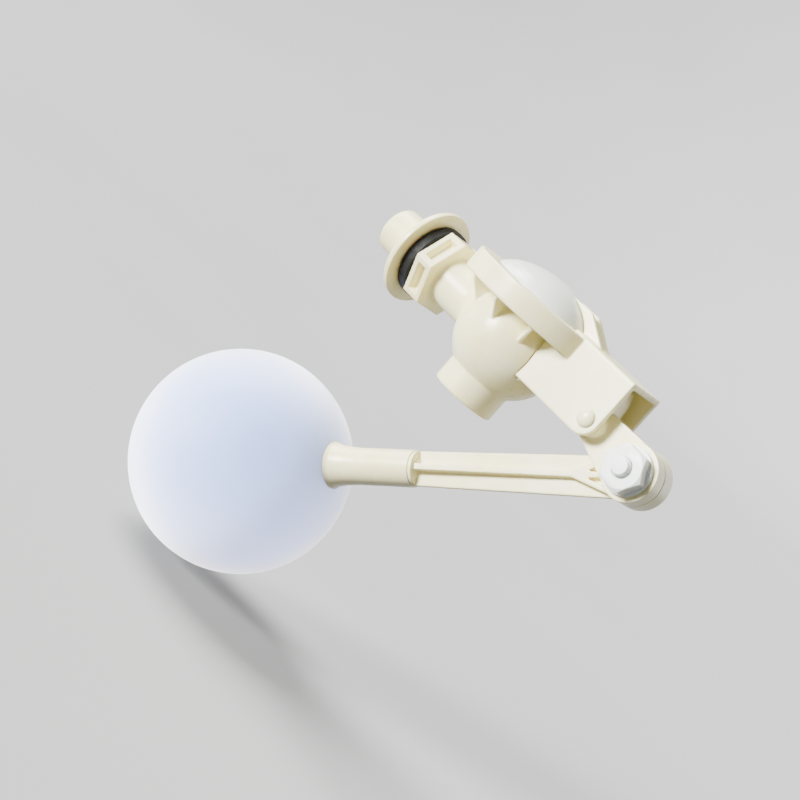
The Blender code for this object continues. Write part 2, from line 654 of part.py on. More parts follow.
def fork():
    """The ridge's Y-shaped end: three ribs that run into the eye, with two pockets between them."""
    reach = math.sqrt(EYE_R**2 - FORK_HALF**2)
    outline = [(0, -FORK_HALF), (reach, -FORK_HALF), (FORK_X, -RIDGE_HALF_WIDTH)]
    outline += [(FORK_X, RIDGE_HALF_WIDTH), (reach, FORK_HALF), (0, FORK_HALF)]
    block = prism("fork", outline, "Y", ARM_EYE_Y[0] + 0.02 * MM, ARM_EYE_Y[1] - 0.02 * MM)
    floor = ARM_PLATE_THICK / 2
    for side in (-1, 1):
        tip = (FORK_X - 6.2 * MM, side * 1.3 * MM)
        pocket = [(EYE_R + MM, side * 1.0 * MM), tip, (EYE_R + MM, side * 4.6 * MM)]
        for y in ((ARM_EYE_Y[0] - MM, ARM_MID_Y - floor), (ARM_MID_Y + floor, ARM_EYE_Y[1] + MM)):
            cut(block, prism("pocket", pocket, "Y", *y))
    return block


def float_arm():
    """Flat plate with a ridge along both faces, an eye at one end and a round tenon at the other."""
    wide, narrow = ARM_HALF_WIDTH
    start = math.sqrt(EYE_R**2 - wide**2)
    thick = ARM_PLATE_THICK / 2
    plate = [(start, -wide), (ARM_END_X, -narrow), (ARM_END_X, narrow), (start, wide)]
    arm = prism("plate", plate, "Y", ARM_MID_Y - thick, ARM_MID_Y + thick)
    add(arm, rod("eye", EYE_R, "Y", *ARM_EYE_Y, segments=36))
    crest = SOCKET_R - 2.4 * MM
    side_view = [
        (FORK_X - MM, ARM_EYE_Y[0] + 0.04 * MM),
        (ARM_END_X, ARM_MID_Y - crest),
        (ARM_END_X, ARM_MID_Y + crest),
        (FORK_X - MM, ARM_EYE_Y[1] - 0.04 * MM),
    ]
    add(arm, prism("ridge", side_view, "Z", -RIDGE_HALF_WIDTH, RIDGE_HALF_WIDTH))
    add(arm, fork())
    add(arm, rod("tenon", TENON_R, "X", ARM_END_X - 2 * MM, ARM_END_X + TENON_LEN, (0, ARM_MID_Y, 0)))
    cut(arm, rod("hole", EYE_HOLE_R, "Y", ARM_EYE_Y[0] - MM, ARM_EYE_Y[1] + MM, segments=24))
    half = COLLAR_POCKET / 2
    cut(arm, box("pocket", (-half, half), (COLLAR_Y[0] - GAP, ARM_EYE_Y[1] + MM), (-half, half)))
    return finish(arm, "float_arm", "cream_plastic")


def ball_surface(radius, offset):
    """How far along the arm a sphere about the ball's centre lies, at that distance from the arm's axis."""
    return ARM_LENGTH - math.sqrt(radius**2 - offset**2)


def ball_socket():
    """Sleeve on the arm's tenon, flared to the ball, with the plug that goes into the ball's neck."""
    start = ARM_END_X + GAP
    near = BALL_R + GAP
    bottom = start + TENON_LEN + MM
    flare_end = ball_surface(near, SOCKET_FLARE_R)
    flare = [(SOCKET_R + rise, flare_end - back) for rise, back in FLARE_STEPS]
    profile = [(TENON_R + GAP, start), (SOCKET_R, start)] + flare
    profile += [(SOCKET_FLARE_R, flare_end - 0.2 * MM)]
    profile += [(offset, ball_surface(near, offset)) for offset in (SOCKET_FLARE_R, 8 * MM, PLUG_R)]
    plug_end = ball_surface(near, PLUG_R) + PLUG_DEPTH
    profile += [(PLUG_R, plug_end), (0, plug_end), (0, bottom), (TENON_R + GAP, bottom)]
    socket = lathe("socket", profile, "X", (0, ARM_MID_Y, 0), 32)
    return finish(socket, "ball_socket", "cream_plastic")


def float_ball():
    """Hollow ball, open only at the neck hole that takes the plug."""
    hole = PLUG_R + GAP
    inner = BALL_R - BALL_WALL
    outer_start = math.degrees(math.asin(hole / BALL_R))
    inner_start = math.degrees(math.asin(hole / inner))
    outer = arc((0, 0), BALL_R, 90 - outer_start, -90, 20)
    shell = arc((0, 0), inner, -90, 90 - inner_start, 14)
    profile = [(abs(r) if abs(r) > 1e-9 else 0.0, -height) for r, height in outer + shell]
    ball = lathe("ball", profile, "X", (ARM_LENGTH, ARM_MID_Y, 0), 36)
    return finish(ball, "float_ball", "ball_plastic")


def clamp_bolt():
    """Disc head, square collar and a plain shank at the thread's outer diameter."""
    soft = 0.5 * MM
    low, high = BOLT_HEAD_Y
    head = [(0, low), (BOLT_HEAD_R - soft, low), (BOLT_HEAD_R, low + soft)]
    head += [(BOLT_HEAD_R, high - soft), (BOLT_HEAD_R - soft, high), (0, high)]
    bolt = lathe("head", head, "Y", segments=32)
    half = COLLAR_SIDE / 2
    add(bolt, box("collar", (-half, half), (COLLAR_Y[0], COLLAR_Y[1] + MM), (-half, half)))
    chamfer = 0.7 * MM
    shank = [(0, BOLT_END_Y), (BOLT_R - chamfer, BOLT_END_Y), (BOLT_R, BOLT_END_Y + chamfer)]
    shank += [(BOLT_R, COLLAR_Y[0] + MM), (0, COLLAR_Y[0] + MM)]
    add(bolt, lathe("shank", shank, "Y", segments=20))
    return finish(bolt, "clamp_bolt", "nut_plastic")


def clamp_nut():
    hexagon = arc((0, 0), NUT_HEX_R, 0, 300, 5)
    nut = prism("hex", hexagon, "Y", NUT_END_Y, NUT_WASHER_Y[0] + 0.5 * MM)
    add(nut, rod("washer", NUT_WASHER_R, "Y", *NUT_WASHER_Y, segments=32))
    cut(nut, rod("bore", EYE_HOLE_R, "Y", NUT_END_Y - MM, NUT_WASHER_Y[1] + MM, segments=24))
    return finish(nut, "clamp_nut", "nut_plastic")


def clear_scene():
    for obj in list(bpy.data.objects):
        bpy.data.objects.remove(obj)


def main():
    clear_scene()
    for make in (
        inlet_connector,
        flange_gasket,
        inlet_strainer,
        inlet_neck,
        valve_bowl,
        body_rim,
        seat_tube,
        outlet_spout,
        seat_ring,
        diaphragm_membrane,
        main_seal_pad,
        diaphragm_disc,
        dome_cap,
        cover_bracket,
        pilot_nozzle,
        pivot_pin,
        pin_retainer,
        lever,
        pilot_pad,
    ):
        make()
    arm_frame = bpy.data.objects.new("arm_frame", None)
    bpy.context.scene.collection.objects.link(arm_frame)
    arm_frame.location = EYE
    arm_frame.rotation_euler = (0, math.pi - ARM_DROP, 0)
    for make in (float_arm, ball_socket, float_ball, clamp_bolt):
        make().parent = arm_frame
    clamp_nut().location = EYE


main()
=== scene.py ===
"""Looks of the plastic float valve: fine moulded meshes, materials, light and camera around its frame."""

import json
import math

import bmesh
import bpy
from mathutils import Matrix, Vector


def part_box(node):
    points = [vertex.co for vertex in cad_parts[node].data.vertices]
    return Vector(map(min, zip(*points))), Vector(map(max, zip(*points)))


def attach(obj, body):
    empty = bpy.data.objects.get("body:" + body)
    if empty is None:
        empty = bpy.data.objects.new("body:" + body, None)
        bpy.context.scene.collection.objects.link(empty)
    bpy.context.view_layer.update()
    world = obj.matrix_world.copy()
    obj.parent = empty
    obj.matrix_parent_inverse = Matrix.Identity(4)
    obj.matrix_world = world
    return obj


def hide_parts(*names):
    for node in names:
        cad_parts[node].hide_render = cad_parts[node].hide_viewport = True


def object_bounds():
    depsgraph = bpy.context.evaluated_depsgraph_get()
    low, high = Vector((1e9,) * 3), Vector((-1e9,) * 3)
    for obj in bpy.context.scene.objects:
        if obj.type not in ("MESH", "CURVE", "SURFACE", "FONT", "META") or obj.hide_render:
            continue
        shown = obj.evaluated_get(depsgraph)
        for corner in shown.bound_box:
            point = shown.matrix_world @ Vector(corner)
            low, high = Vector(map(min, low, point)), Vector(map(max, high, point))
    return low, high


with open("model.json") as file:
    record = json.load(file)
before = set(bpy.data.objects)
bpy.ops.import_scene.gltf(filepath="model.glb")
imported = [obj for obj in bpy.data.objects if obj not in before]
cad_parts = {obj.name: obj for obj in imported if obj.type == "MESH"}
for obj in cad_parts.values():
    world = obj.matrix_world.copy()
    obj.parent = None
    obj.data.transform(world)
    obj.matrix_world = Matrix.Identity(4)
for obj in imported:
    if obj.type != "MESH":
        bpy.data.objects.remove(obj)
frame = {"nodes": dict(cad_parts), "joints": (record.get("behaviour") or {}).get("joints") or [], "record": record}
CAD_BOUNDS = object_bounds()

MM = 0.001
JOINTS = {joint["name"]: joint for joint in frame["joints"]}
PIVOT = Vector(JOINTS["lever_swing"]["pos_m"])
EYE = Vector(JOINTS["arm_angle"]["pos_m"])


def extent(node, axis):
    """Lowest and highest coordinate of a CAD node along one axis, 0 to 2."""
    low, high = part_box(node)
    return low[axis], high[axis]


def middle(node, axis):
    return sum(extent(node, axis)) / 2


# Sizes read from the frame
AXIS_X = middle("dome_cap", 0)
SPIGOT_END_X = extent("inlet_connector", 0)[0]
THREAD_END_X = extent("inlet_connector", 0)[1]
FLANGE_R = extent("inlet_connector", 2)[1]
GASKET_X = extent("flange_gasket", 0)
GASKET_R = extent("flange_gasket", 2)[1]
HEX_R = 17.5 * MM
SPOUT_END_Z = extent("outlet_spout", 2)[0]
SPOUT_R = extent("outlet_spout", 1)[1]
BODY_RIM_TOP = extent("body_rim", 2)[1]
BODY_RIM_R = extent("body_rim", 1)[1]
SPOUT_STEP_Z = extent("valve_bowl", 2)[0]
RING_R = extent("cover_bracket", 1)[1]
BRACKET_END_X = extent("cover_bracket", 0)[1]
BRACKET_BOTTOM = extent("cover_bracket", 2)[0]
HUMP_TOP = extent("cover_bracket", 2)[1]
DOME_TOP = extent("dome_cap", 2)[1]
DOME_FLANGE_LOW = extent("dome_cap", 2)[0]
BALL_CENTRE = Vector([middle("float_ball", axis) for axis in range(3)])
BALL_R = (extent("float_ball", 1)[1] - extent("float_ball", 1)[0]) / 2
ARM_MID_Y = BALL_CENTRE.y
ARM_LENGTH = math.hypot(BALL_CENTRE.x - EYE.x, BALL_CENTRE.z - EYE.z)

# Used all over: the gap between pieces, the slack of a push fit, the usual edge rounding, how far
# joined solids run into each other, and the sliver that keeps their faces out of one plane
GAP = 0.3 * MM
FIT = 0.1 * MM
EDGE_ROUND = 0.3 * MM
OVERLAP = 0.5 * MM
SLIVER = 0.02 * MM

# Inlet
HEX_LEN = 9.7 * MM
HEX_POCKET_DEPTH = 3.2 * MM
HEX_POCKET_FRAME = 2.4 * MM
HEX_POCKET_DRAFT = (0.5 * MM, -0.15 * MM)  # at the pocket's floor and a millimetre outside the flat
THREAD_R = 8.5 * MM
THREAD_DEPTH = 1.1 * MM
THREAD_PITCH = 1.8 * MM
THREAD_ROOM = 0.8 * MM
THREAD_END_ROUND = 0.4 * MM
INLET_BORE_R = 6.5 * MM
# How much wider than the bore, and how deep
INLET_MOUTH = ((1.6 * MM, -1.0 * MM), (0.7 * MM, 0.1 * MM), (0, 0.9 * MM))
NECK_R = 10.6 * MM
NECK_FLARE = 1.3 * MM
# Shares of the flare, with the distance from the hexagon in flares and from the bowl's edge
NECK_ROOT = ((0.35, 0.6), (0, 1.8))
NECK_BELL = ((0, -3.0 * MM), (0.3, -1.2 * MM), (1.1, 0.6 * MM))
NECK_REACH = 0.72
SPIGOT_R = 10.2 * MM
SPIGOT_ROUND = 2.6 * MM
SPIGOT_ROOT_ROUND = 1.6 * MM
FLANGE_LEN = 3.1 * MM
FLANGE_ROUND = (1.3 * MM, 0.7 * MM)
GASKET_ROUND = 0.9 * MM
GASKET_DRAFT = 0.12 * MM
SEAM_RISE = 0.08 * MM
SEAM_HALF = (0.08 * MM, 0.25 * MM)  # half the seam's width at its crest and its foot

# Bowl
BOWL_R = 23.4 * MM
BOWL_Z = -0.8 * MM
BOWL_WALL = 3.2 * MM
BODY_BORE_R = 6.9 * MM
BODY_BORE_STOP = 4.0 * MM
SPOUT_BORE_R = 11.2 * MM
SPOUT_LIP = 3.0 * MM
SPOUT_ROUND = (0.5 * MM, 0.9 * MM)
THROAT_R = 7.8 * MM
THROAT_OUTER_R = 10.0 * MM
THROAT_TOP_Z = 9.0 * MM
RIM_LOW = 11.0 * MM
GUSSET_AZIMUTHS = (54, 90, 126, 234, 270, 306)
GUSSET_R = 30.6 * MM
GUSSET_HEIGHT = 7.8 * MM
GUSSET_THICK = 1.5 * MM
GUSSET_ROOT = 0.6 * MM
GUSSET_LEAN = 0.8 * MM
GUSSET_TOE = 1.6 * MM

# Cover
DOME_BASE_R = 24.4 * MM
DOME_SHOULDER = 1.4
DOME_STEP = 0.35 * MM
DOME_BAND = (32, 33.2)  # degrees above the foot where the outer band ends and the middle starts
DOME_WALL = 2.0 * MM
DOME_INNER_R = 22.0 * MM
DOME_FOOT_DROP = 0.2 * MM
RING_Z = (11.0 * MM, 20.7 * MM)
RING_SKIRT_R = 31.5 * MM
RING_SHELF_Z = 16.9 * MM
RING_ROUND = (0.8 * MM, 0.9 * MM)
DOME_FLANGE_TOP = 16.6 * MM
CHANNEL_HALF = 12.8 * MM
CHANNEL_WALL = 2.5 * MM
CHANNEL_TOP_Z = 21.8 * MM
CHANNEL_START_X = 69.0 * MM
CHANNEL_CORNER_R = 7.2 * MM
CHANNEL_ROUND = 1.0 * MM
CHANNEL_SLOT_LEN = 8.0 * MM
CHANNEL_SLOT_DROP = 0.2 * MM
WEB_X = 76.0 * MM
WEB_DROP = 1.3 * MM
HUMP_HALF = 4.3 * MM
HUMP_X = (71.6 * MM, 85.3 * MM)
HUMP_RIB = 1.9 * MM
HUMP_RECESS = 1.4 * MM
HUMP_BACK = 7.0 * MM
HUMP_SINK = 0.6 * MM
HUMP_TOE = 0.8 * MM
HUMP_RUNOUT = (2.0 * MM, 1.2 * MM)  # back from the foot, and up from the recess's floor
HUMP_CLEAR = 0.4 * MM
BOSS_X = (80.0 * MM, 91.0 * MM)
BOSS_HALF = 4.6 * MM
BOSS_BOTTOM_Z = 9.0 * MM
PILOT_Z = 13.5 * MM
PILOT_BORE_R = 0.8 * MM
PASSAGE_Z = 18.8 * MM
PASSAGE_X = 87.5 * MM
NOZZLE_HOLE_R = 2.2 * MM
NOZZLE_HOLE_BACK = 0.4 * MM

# Lever, pin and arm
PIN_R = 2.0 * MM
PIN_HOLE_R = 2.3 * MM
PIN_HEAD_R = 3.8 * MM
PIN_HEAD_RISE = 1.9 * MM
PIN_TAIL = 2.4 * MM
PIN_CHAMFER = 0.5 * MM
RETAINER_THICK = 1.5 * MM
RETAINER_TAPER = 0.3 * MM
PAD_BACK_X = 98.7 * MM
PILOT_PAD_R = 3.2 * MM
CRANK_END_X = 106.4 * MM
CRANK_HALF = 4.5 * MM
CRANK_TOP_Z = 17.3 * MM
CRANK_ROOT_HALF = 3.0 * MM
CRANK_BACK_DROP = 5.0 * MM
CRANK_CORNER = 2.0 * MM
HUB_R = 6.0 * MM
HUB_HALF = 9.9 * MM
EYE_R = 11.8 * MM
EYE_HOLE_R = 4.35 * MM
LEVER_EYE_Y = (-6.6 * MM, -0.15 * MM)
LEVER_NECK_Y = (-5.2 * MM, -0.15 * MM)
LEVER_NECK_R = 7.4 * MM
ARM_EYE_Y = (0.15 * MM, 8.0 * MM)
SLEEVE_START_X = 97.5 * MM
ARM_END_X = SLEEVE_START_X - SLIVER
ARM_PLATE_THICK = 2.2 * MM
ARM_HALF_WIDTH = (8.3 * MM, 7.1 * MM)
RIDGE_HALF_WIDTH = 1.3 * MM
RIDGE_BELOW_SLEEVE = 2.4 * MM
FORK_X = 27.0 * MM
FORK_HALF = 8.2 * MM
FORK_POCKET_TIP = (6.2 * MM, 1.3 * MM)  # back from the fork's point, and off the arm's middle
FORK_POCKET_Z = (1.0 * MM, 4.6 * MM)
TENON_R = 4.4 * MM
TENON_LEN = 18.0 * MM
TENON_ROOT = 2.0 * MM
SHOULDER_R = 7.2 * MM
SHOULDER_LEN = 1.5 * MM
SOCKET_R = 7.6 * MM
SOCKET_FLARE_R = 9.8 * MM
# Each step of the sleeve's flare: how far before its end, how much wider, and its rounding
SOCKET_FLARE = (
    (13.0 * MM, 0, 6.0 * MM),
    (8.0 * MM, 0.3 * MM, 6.0 * MM),
    (4.2 * MM, 0.8 * MM, 4.0 * MM),
    (1.6 * MM, 1.4 * MM, 3.0 * MM),
)
SOCKET_FOOT = (9.6 * MM, 8.0 * MM)
PLUG_R = 5.0 * MM
PLUG_DEPTH = 7.0 * MM
PLUG_ROUND = 0.6 * MM
BALL_HOLE_R = 5.2 * MM
BALL_WALL = 1.6 * MM

# Bolt and nut
COLLAR_SIDE = 12.0 * MM
COLLAR_POCKET = 12.7 * MM
COLLAR_Y = (5.0 * MM, 8.3 * MM)
COLLAR_ROUND = 0.35 * MM
BOLT_HEAD_R = 8.75 * MM
BOLT_HEAD_Y = (8.3 * MM, 11.3 * MM)
BOLT_HEAD_ROUND = (0.5 * MM, 0.8 * MM)
BOLT_RIM = (2.2 * MM, 2.6 * MM)  # the rim's width at the face and at the dish
BOLT_DISH = (0.4 * MM, 0.5 * MM)  # the dish's depth at the rim and in the middle
BOLT_END_Y = -16.0 * MM
BOLT_LEAD = 0.25 * MM
BOLT_R = 4.0 * MM
BOLT_CORE_R = 3.3 * MM
BOLT_PITCH = 1.25 * MM
NUT_WASHER_R = 10.0 * MM
NUT_WASHER_Y = (-8.4 * MM, -6.9 * MM)
NUT_HEX_R = 9.8 * MM
NUT_WASHER_ROUND = 0.4 * MM
NUT_END_Y = -13.9 * MM
NUT_CROWN = (0.2 * MM, 0.4 * MM, 1.5 * MM)  # inside the flats, outside the corners, length
NUT_BORE_R = 4.12 * MM
NUT_THREAD_R = (4.1 * MM, 4.6 * MM)

# Fineness of the meshes
FINE = 128
MEDIUM = 96
BODY_VOXEL = 0.34 * MM
LEVER_VOXEL = 0.26 * MM
ARM_VOXEL = 0.28 * MM
FACES_KEPT = 0.3
WELD = 0.001 * MM
BEVEL_ANGLE = 40
EDGE_SHARE = 0.48

# Floor, light and camera
FLOOR_DROP = 2.0 * MM
FLOOR_R = 2.6
SWEEP_R = 1.2
WALL_TOP = 3.2
SHEET = 0.02
FLOOR_TONE = (0.50, 0.52)
# Name, direction it comes from, strength and apparent width in degrees
STUDIO_LIGHTS = (
    ("key", (-0.42, -0.88, 0.14), 13, 18),
    ("top", (-0.75, -0.1, 0.65), 8, 40),
    ("back", (0.3, 0.9, 0.4), 1.5, 50),
)
BALL_GLOW = (
    ("glow_below", (0.45, -0.15, -0.85), 8),
    ("glow_right", (0.80, 0.10, 0.50), 5),
    ("glow_left", (-0.72, -0.05, -0.60), 18),
    ("glow_behind", (-0.60, 0.45, 0.62), 10),
)
GLOW_ANGLE = 60
GLOW_COLOUR = (1.0, 0.87, 0.74)
SKY = 0.25
CAMERA_PLACE = Vector((470.8, -693.7, 65.2)) * MM
CAMERA_VIEW = Vector((-0.5321, 0.8354, -0.1377))
CAMERA_RIGHT = Vector((0.5835, 0.4796, 0.6553))
CAMERA_LENS = 92.25


# ---------------------------------------------------------------- mesh tools


def to_object(shape, name):
    """A new object from a bmesh, with its faces pointing out."""
    bmesh.ops.recalc_face_normals(shape, faces=shape.faces)
    mesh = bpy.data.meshes.new(name)
    shape.to_mesh(mesh)
    shape.free()
    obj = bpy.data.objects.new(name, mesh)
    bpy.context.scene.collection.objects.link(obj)
    return obj


def along(axis, height, a, b):
    """The point at that height along axis, with a and b across it."""
    if axis == "X":
        return (height, a, b)
    if axis == "Y":
        return (b, height, a)
    return (a, b, height)


def arc(centre, radius, start, stop, steps):
    """Points on a circle from one angle to another, in degrees, both ends included."""
    points = []
    for step in range(steps + 1):
        turn = math.radians(start + (stop - start) * step / steps)
        points.append((centre[0] + radius * math.cos(turn), centre[1] + radius * math.sin(turn)))
    return points


def fillet(corners, steps=5):
    """A closed outline from (x, y, radius) corners, each rounded by its radius."""
    outline = []
    count = len(corners)
    for i, (x, y, radius) in enumerate(corners):
        corner = Vector((x, y))
        before = Vector(corners[i - 1][:2]) - corner
        after = Vector(corners[(i + 1) % count][:2]) - corner
        if radius <= 0:
            outline.append((x, y))
            continue
        half = before.angle(after) / 2
        reach = min(radius / math.tan(half), before.length * EDGE_SHARE, after.length * EDGE_SHARE)
        start = corner + before.normalized() * reach
        end = corner + after.normalized() * reach
        for step in range(steps + 1):
            t = step / steps
            point = start * (1 - t) ** 2 + corner * 2 * t * (1 - t) + end * t**2
            outline.append((point.x, point.y))
    return outline


def lathe(name, profile, axis="Z", centre=(0, 0, 0), segments=FINE):
    """A closed (radius, height) outline turned about an axis through centre."""
    turned = bmesh.new()
    rings = []
    for radius, height in profile:
        if radius < 1e-7:
            rings.append([turned.verts.new(along(axis, height, 0, 0))])
            continue
        ring = []
        for step in range(segments):
            turn = 2 * math.pi * step / segments
            across = (radius * math.cos(turn), radius * math.sin(turn))
            ring.append(turned.verts.new(along(axis, height, *across)))
        rings.append(ring)
    for first, second in zip(rings, rings[1:] + rings[:1]):
        if len(first) == 1 and len(second) == 1:
            continue
        for step in range(segments):
            after = (step + 1) % segments
            corners = [
                first[step % len(first)],
                first[after % len(first)],
                second[after % len(second)],
                second[step % len(second)],
            ]
            turned.faces.new(list(dict.fromkeys(corners)))
    bmesh.ops.translate(turned, verts=turned.verts, vec=centre)
    return to_object(turned, name)


def prism(name, outline, axis, low, high):
    """A flat outline extruded along an axis. The outline is (x, z) for Y, (x, y) for Z and (y, z) for X."""
    solid = bmesh.new()
    ends = []
    for height in (low, high):
        if axis == "Y":
            points = [(a, height, b) for a, b in outline]
        elif axis == "Z":
            points = [(a, b, height) for a, b in outline]
        else:
            points = [(height, a, b) for a, b in outline]
        ends.append([solid.verts.new(point) for point in points])
    count = len(outline)
    for i in range(count):
        j = (i + 1) % count
        solid.faces.new((ends[0][i], ends[0][j], ends[1][j], ends[1][i]))
    solid.faces.new(ends[0])
    solid.faces.new(ends[1])
    return to_object(solid, name)


def box(name, x, y, z):
    """A block from (low, high) pairs."""
    return prism(name, [(x[0], y[0]), (x[1], y[0]), (x[1], y[1]), (x[0], y[1])], "Z", *z)


def rod(name, radius, axis, low, high, centre=(0, 0, 0), segments=64):
    """A plain round bar from low to high, measured from centre along axis."""
    circle = arc((0, 0), radius, 0, 360 * (segments - 1) / segments, segments - 1)
    bar = prism(name, circle, axis, low, high)
    bar.data.transform(Matrix.Translation(centre))
    return bar


def thread(name, core_r, crest_r, pitch, low, high, centre=(0, 0, 0), axis="Y", segments=48):
    """A bar with a helical V thread that runs out at both ends."""
    rows_per_turn = 8
    steepness = 1.35
    rows = int((high - low) / pitch * rows_per_turn)
    depth = crest_r - core_r
    bar = bmesh.new()
    rings = []
    for row in range(rows + 1):
        height = low + (high - low) * row / rows
        fade = min(1.0, (height - low) / pitch, (high - height) / pitch)
        ring = []
        for step in range(segments):
            phase = ((height - low) / pitch - step / segments) % 1.0
            ridge = min(1.0, steepness * (1 - abs(2 * phase - 1)))
            radius = core_r + depth * ridge * fade
            turn = 2 * math.pi * step / segments
            across = (radius * math.cos(turn), radius * math.sin(turn))
            ring.append(bar.verts.new(along(axis, height, *across)))
        rings.append(ring)
    for first, second in zip(rings, rings[1:]):
        for step in range(segments):
            after = (step + 1) % segments
            bar.faces.new((first[step], first[after], second[after], second[step]))
    bar.faces.new(rings[0])
    bar.faces.new(rings[-1])
    bmesh.ops.translate(bar, verts=bar.verts, vec=centre)
    return to_object(bar, name)


def settle(obj):
    """Applies an object's modifiers to its mesh."""
    graph = bpy.context.evaluated_depsgraph_get()
    result = bpy.data.meshes.new_from_object(obj.evaluated_get(graph))
    welded = bmesh.new()
    welded.from_mesh(result)
    bmesh.ops.remove_doubles(welded, verts=welded.verts, dist=WELD)
    welded.to_mesh(result)
    welded.free()
    obj.modifiers.clear()
    obj.data = result
    return obj


def combine(target, other, operation):
    """Adds or cuts other, and removes it."""
    modifier = target.modifiers.new("combine", "BOOLEAN")
    modifier.operation = operation
    modifier.solver = "EXACT"
    modifier.object = other
    settle(target)
    bpy.data.objects.remove(other)
    return target


def add(target, other):
    return combine(target, other, "UNION")


def cut(target, other):
    return combine(target, other, "DIFFERENCE")


def moulded(obj, voxel, passes):
    """Turns a sharp solid into a moulded one: every edge and inner corner softened, on an even mesh."""
    remesh = obj.modifiers.new("remesh", "REMESH")
    remesh.mode = "VOXEL"
    remesh.voxel_size = voxel
    soften = obj.modifiers.new("soften", "SMOOTH")
    soften.factor = 0.5
    soften.iterations = passes
    lighten = obj.modifiers.new("lighten", "DECIMATE")
    lighten.ratio = FACES_KEPT
    return settle(obj)


def softened(obj, width, segments=3):
    """Rounds the edges of a plain solid."""
    bevel = obj.modifiers.new("bevel", "BEVEL")
    bevel.width = width
    bevel.segments = segments
    bevel.limit_method = "ANGLE"
    bevel.angle_limit = math.radians(BEVEL_ANGLE)
    return settle(obj)


def racket(small, small_r, large, large_r, steps):
    """The outline of two circles joined by their outer tangents."""
    span = Vector(large) - Vector(small)
    heading = math.degrees(math.atan2(span.y, span.x))
    lean = math.degrees(math.acos((small_r - large_r) / span.length))
    far = arc(large, large_r, heading - lean, heading + lean, steps)
    near = arc(small, small_r, heading + lean, heading + 360 - lean, steps)
    return far + near


# ---------------------------------------------------------------- materials


def blotches(tree, scale, detail=3.0, roughness=0.5):
    """Noise in the piece's own coordinates, in metres."""
    place = tree.nodes.get("place") or tree.nodes.new("ShaderNodeTexCoord")
    place.name = "place"
    noise = tree.nodes.new("ShaderNodeTexNoise")
    noise.inputs["Scale"].default_value = scale
    noise.inputs["Detail"].default_value = detail
    noise.inputs["Roughness"].default_value = roughness
    tree.links.new(place.outputs["Object"], noise.inputs["Vector"])
    return noise.outputs["Fac"]


def ramp(tree, value, low, high, at=(0.35, 0.65)):
    """A colour ramp between two colours or two grey levels."""
    made = tree.nodes.new("ShaderNodeValToRGB")
    for element, level, position in zip(made.color_ramp.elements, (low, high), at):
        colour = level if isinstance(level, tuple) else (level, level, level)
        element.color = (*colour, 1.0)
        element.position = position
    tree.links.new(value, made.inputs["Fac"])
    return made.outputs["Color"]


def relief(tree, parts):
    """Chained bumps. Each part is (height, distance in metres, strength)."""
    normal = None
    for height, distance, strength in parts:
        bump = tree.nodes.new("ShaderNodeBump")
        bump.inputs["Distance"].default_value = distance
        bump.inputs["Strength"].default_value = strength
        tree.links.new(height, bump.inputs["Height"])
        if normal is not None:
            tree.links.new(normal, bump.inputs["Normal"])
        normal = bump.outputs["Normal"]
    return normal


def start_material(name):
    made = bpy.data.materials.new(name)
    made.use_nodes = True
    return made, made.node_tree, made.node_tree.nodes["Principled BSDF"]


def moulded_plastic(name, pale, warm, shine, translucency, grain=0.5):
    """Injection-moulded plastic: cloudy tone, faint sink marks, fine orange-peel and dull scuffs."""
    made, tree, shader = start_material(name)
    cloud = blotches(tree, scale=60, detail=4, roughness=0.6)
    tree.links.new(ramp(tree, cloud, warm, pale), shader.inputs["Base Color"])
    dull, bright = shine
    scuffs = blotches(tree, scale=240, detail=5, roughness=0.65)
    tree.links.new(ramp(tree, scuffs, bright, dull), shader.inputs["Roughness"])
    peel = blotches(tree, scale=900, detail=2, roughness=0.5)
    sink = blotches(tree, scale=110, detail=2, roughness=0.4)
    fine = blotches(tree, scale=4200, detail=3, roughness=0.6)
    layers = [(sink, 0.30 * MM, 0.25 * grain), (peel, 0.06 * MM, 0.5 * grain), (fine, 0.02 * MM, 0.5 * grain)]
    tree.links.new(relief(tree, layers), shader.inputs["Normal"])
    shader.inputs["IOR"].default_value = 1.49
    shader.inputs["Subsurface Weight"].default_value = translucency
    shader.inputs["Subsurface Radius"].default_value = (1.0, 0.8, 0.45)
    shader.inputs["Subsurface Scale"].default_value = 0.003
    return made


def blown_ball():
    """Thin blow-moulded polyethylene: milky, slightly blue, with uneven wall tone and a soft sheen."""
    made, tree, shader = start_material("ball_plastic")
    cloud = blotches(tree, scale=14, detail=3, roughness=0.5)
    tone = ramp(tree, cloud, (0.28, 0.42, 0.93), (0.33, 0.48, 0.95), at=(0.3, 0.7))
    tree.links.new(tone, shader.inputs["Base Color"])
    scuffs = blotches(tree, scale=90, detail=4, roughness=0.6)
    tree.links.new(ramp(tree, scuffs, 0.50, 0.60), shader.inputs["Roughness"])
    wall = blotches(tree, scale=22, detail=2, roughness=0.4)
    peel = blotches(tree, scale=420, detail=3, roughness=0.5)
    tree.links.new(relief(tree, [(wall, 0.8 * MM, 0.18), (peel, 0.06 * MM, 0.35)]), shader.inputs["Normal"])
    shader.inputs["IOR"].default_value = 1.5
    shader.inputs["Subsurface Weight"].default_value = 0.5
    shader.inputs["Subsurface Radius"].default_value = (0.7, 0.9, 1.0)
    shader.inputs["Subsurface Scale"].default_value = 0.003
    shader.inputs["Sheen Weight"].default_value = 1.0
    shader.inputs["Sheen Roughness"].default_value = 0.6
    return made


